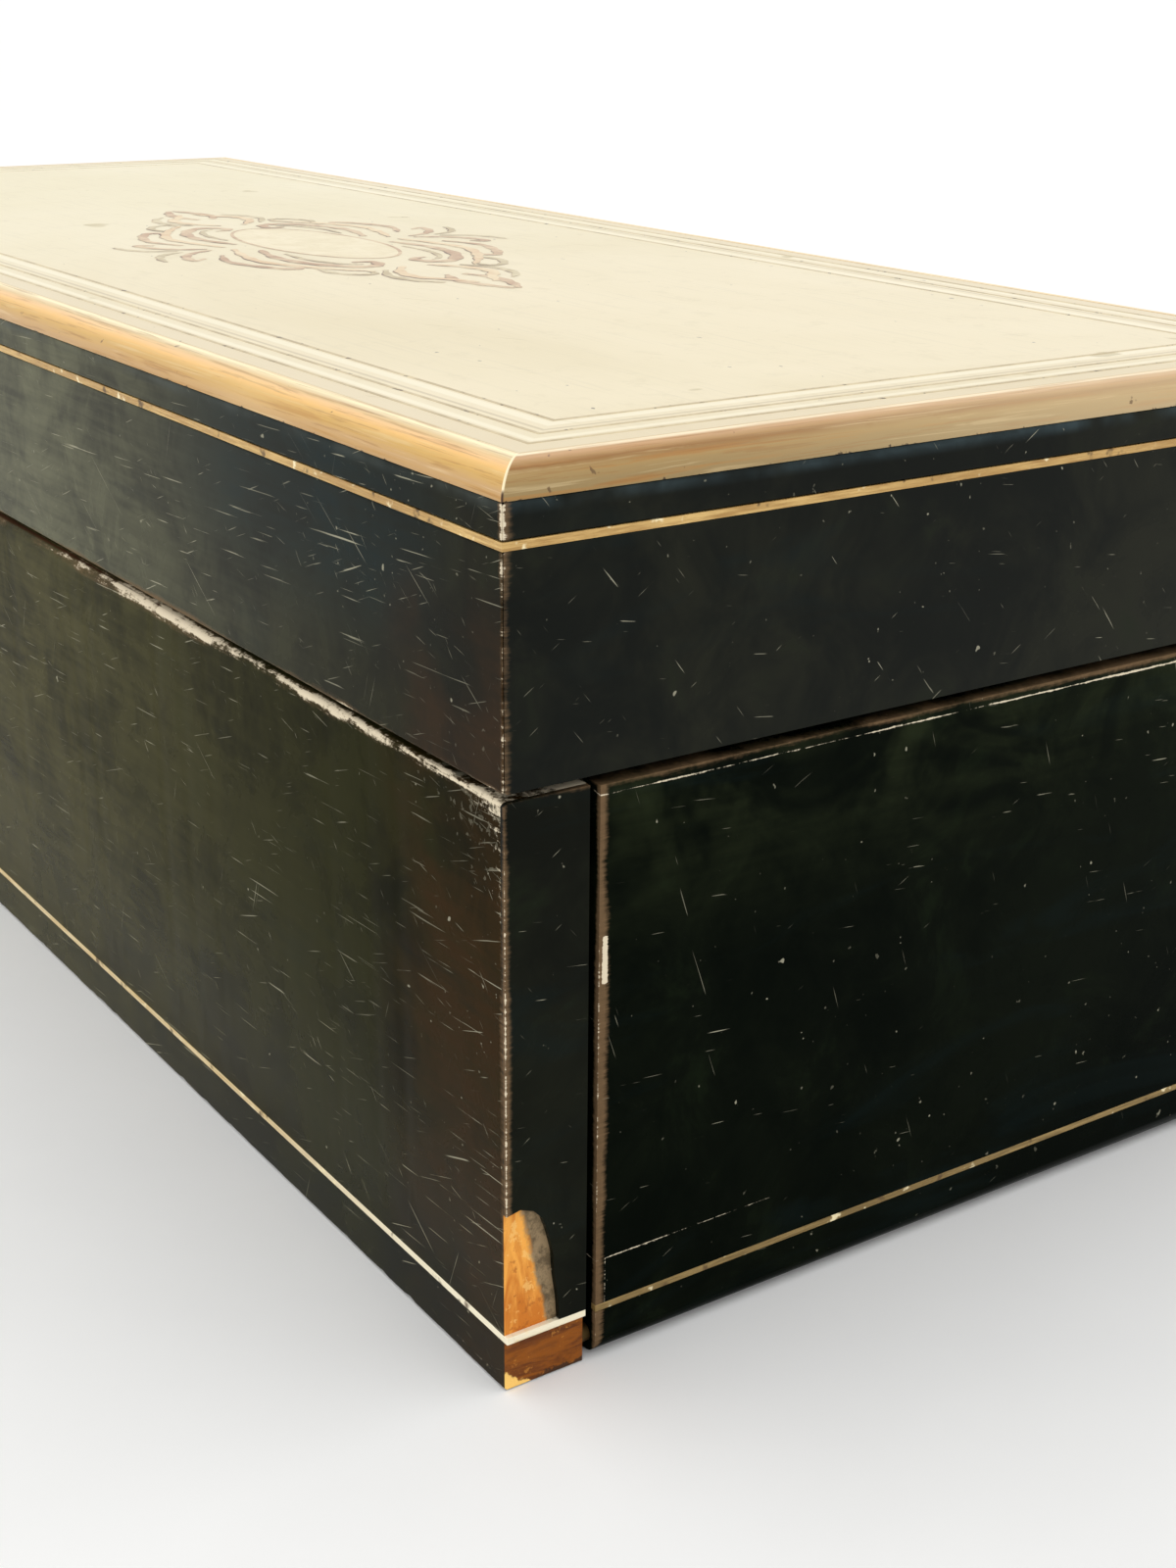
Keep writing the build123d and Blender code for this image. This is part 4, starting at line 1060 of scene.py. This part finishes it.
blue_steel = metal("blued spring steel", (60, 76, 128), (36, 40, 70), 0.25, (60.0, 400.0, 400.0))
soften("great_wheel", 0.08 * MM, [wheel_brass])
soften("barrel_drum", 0.3 * MM, [wheel_brass])
soften("mainspring", 0.05 * MM, [blue_steel])
soften("winding_arbor", 0.2 * MM, [steel])
soften("ratchet_wheel", 0.08 * MM, [steel])
soften("click", 0.15 * MM, [blue_steel])

# ---------------------------------------------------------------------------
# Governor: a cast brass frame carrying two wheels, a steel worm and a thin
# brass fan that beats the air and keeps the tune at an even speed.
# ---------------------------------------------------------------------------

soften("governor_frame", 0.35 * MM, [cast_brass])
soften("first_wheel_and_pinion", 0.05 * MM, [wheel_brass])
soften("second_wheel_and_pinion", 0.05 * MM, [wheel_brass])
soften("governor_worm", 0.04 * MM, [steel])
soften("governor_fan", 0.1 * MM, [wheel_brass])

# ---------------------------------------------------------------------------
# Control levers: start and stop, change and repeat, instant stop.  Flat steel
# bars with rounded thumb ends that reach through slots behind the flap.
# ---------------------------------------------------------------------------

for node in ("start_stop_lever", "change_repeat_lever", "instant_stop_lever"):
    soften(node, 0.35 * MM, [steel])

# ---------------------------------------------------------------------------
# Winding key: forged steel with an oval bow, resting in its cradle.
# ---------------------------------------------------------------------------

key_steel = metal("forged key steel", (150, 146, 140), (92, 84, 76), 0.3, (400.0, 400.0, 400.0), 0.6)
soften("winding_key", 0.5 * MM, [key_steel])

# ---------------------------------------------------------------------------
# The room: a plain pale floor, broad soft lamps, and the camera at table
# height, off the corner between the front and the flap.
# ---------------------------------------------------------------------------

floor_mesh = bpy.data.meshes.new("floor")
reach = 60.0
floor_corners = [(-reach, -reach, 0), (reach, -reach, 0), (reach, reach, 0), (-reach, reach, 0)]
floor_mesh.from_pydata(floor_corners, [], [(0, 1, 2, 3)])
floor = bpy.data.objects.new("floor", floor_mesh)
bpy.context.scene.collection.objects.link(floor)
floor.location.z = -0.2 * MM
matt = Finish("pale floor")
speckle = matt.cloud(40.0, 3.0, 0.5)
matt_white = matt.blend(speckle, paint(250, 250, 249), paint(246, 246, 245))
floor_mesh.materials.append(matt.set(matt_white, 0.9 + speckle * 0.05))

world = bpy.data.worlds.new("soft daylight")
bpy.context.scene.world = world
world.use_nodes = True
world.node_tree.nodes["Background"].inputs["Color"].default_value = (1.0, 1.0, 1.0, 1.0)
world.node_tree.nodes["Background"].inputs["Strength"].default_value = 1.08
bpy.context.scene.view_settings.view_transform = "Standard"


def lamp(name, place, target, size, power, colour):
    light = bpy.data.lights.new(name, "AREA")
    light.size = size
    light.energy = power
    light.color = colour
    lamp_object = bpy.data.objects.new(name, light)
    bpy.context.scene.collection.objects.link(lamp_object)
    lamp_object.location = place
    aim = Vector(target) - Vector(place)
    lamp_object.rotation_euler = aim.to_track_quat("-Z", "Y").to_euler()


warm = (1.0, 0.95, 0.86)
lamp("overhead softbox", (-0.1, 0.3, 1.6), (0.05, 0.0, 0.1), 1.2, 1.6, warm)
lamp("front softbox", (-0.9, -1.3, 0.8), (0.1, 0.0, 0.08), 0.9, 1.6, warm)

camera_data = bpy.data.cameras.new("camera")
camera_data.sensor_width = 36.0
camera_data.lens = 49.9
camera_data.clip_start = 0.01
camera_data.clip_end = 200.0
camera = bpy.data.objects.new("camera", camera_data)
bpy.context.scene.collection.objects.link(camera)
bpy.context.scene.camera = camera
turn, dip, roll = 0.975, 0.358, 0.008
ahead = Vector((-math.sin(turn) * math.cos(dip), math.cos(turn) * math.cos(dip), -math.sin(dip)))
right = Vector((math.cos(turn), math.sin(turn), 0.0))
above = right.cross(ahead)
right_rolled = right * math.cos(roll) + above * math.sin(roll)
above_rolled = above * math.cos(roll) - right * math.sin(roll)
camera.matrix_world = Matrix((right_rolled, above_rolled, -ahead)).transposed().to_4x4()
camera.location = (463.98 * MM, -234.31 * MM, 199.08 * MM)
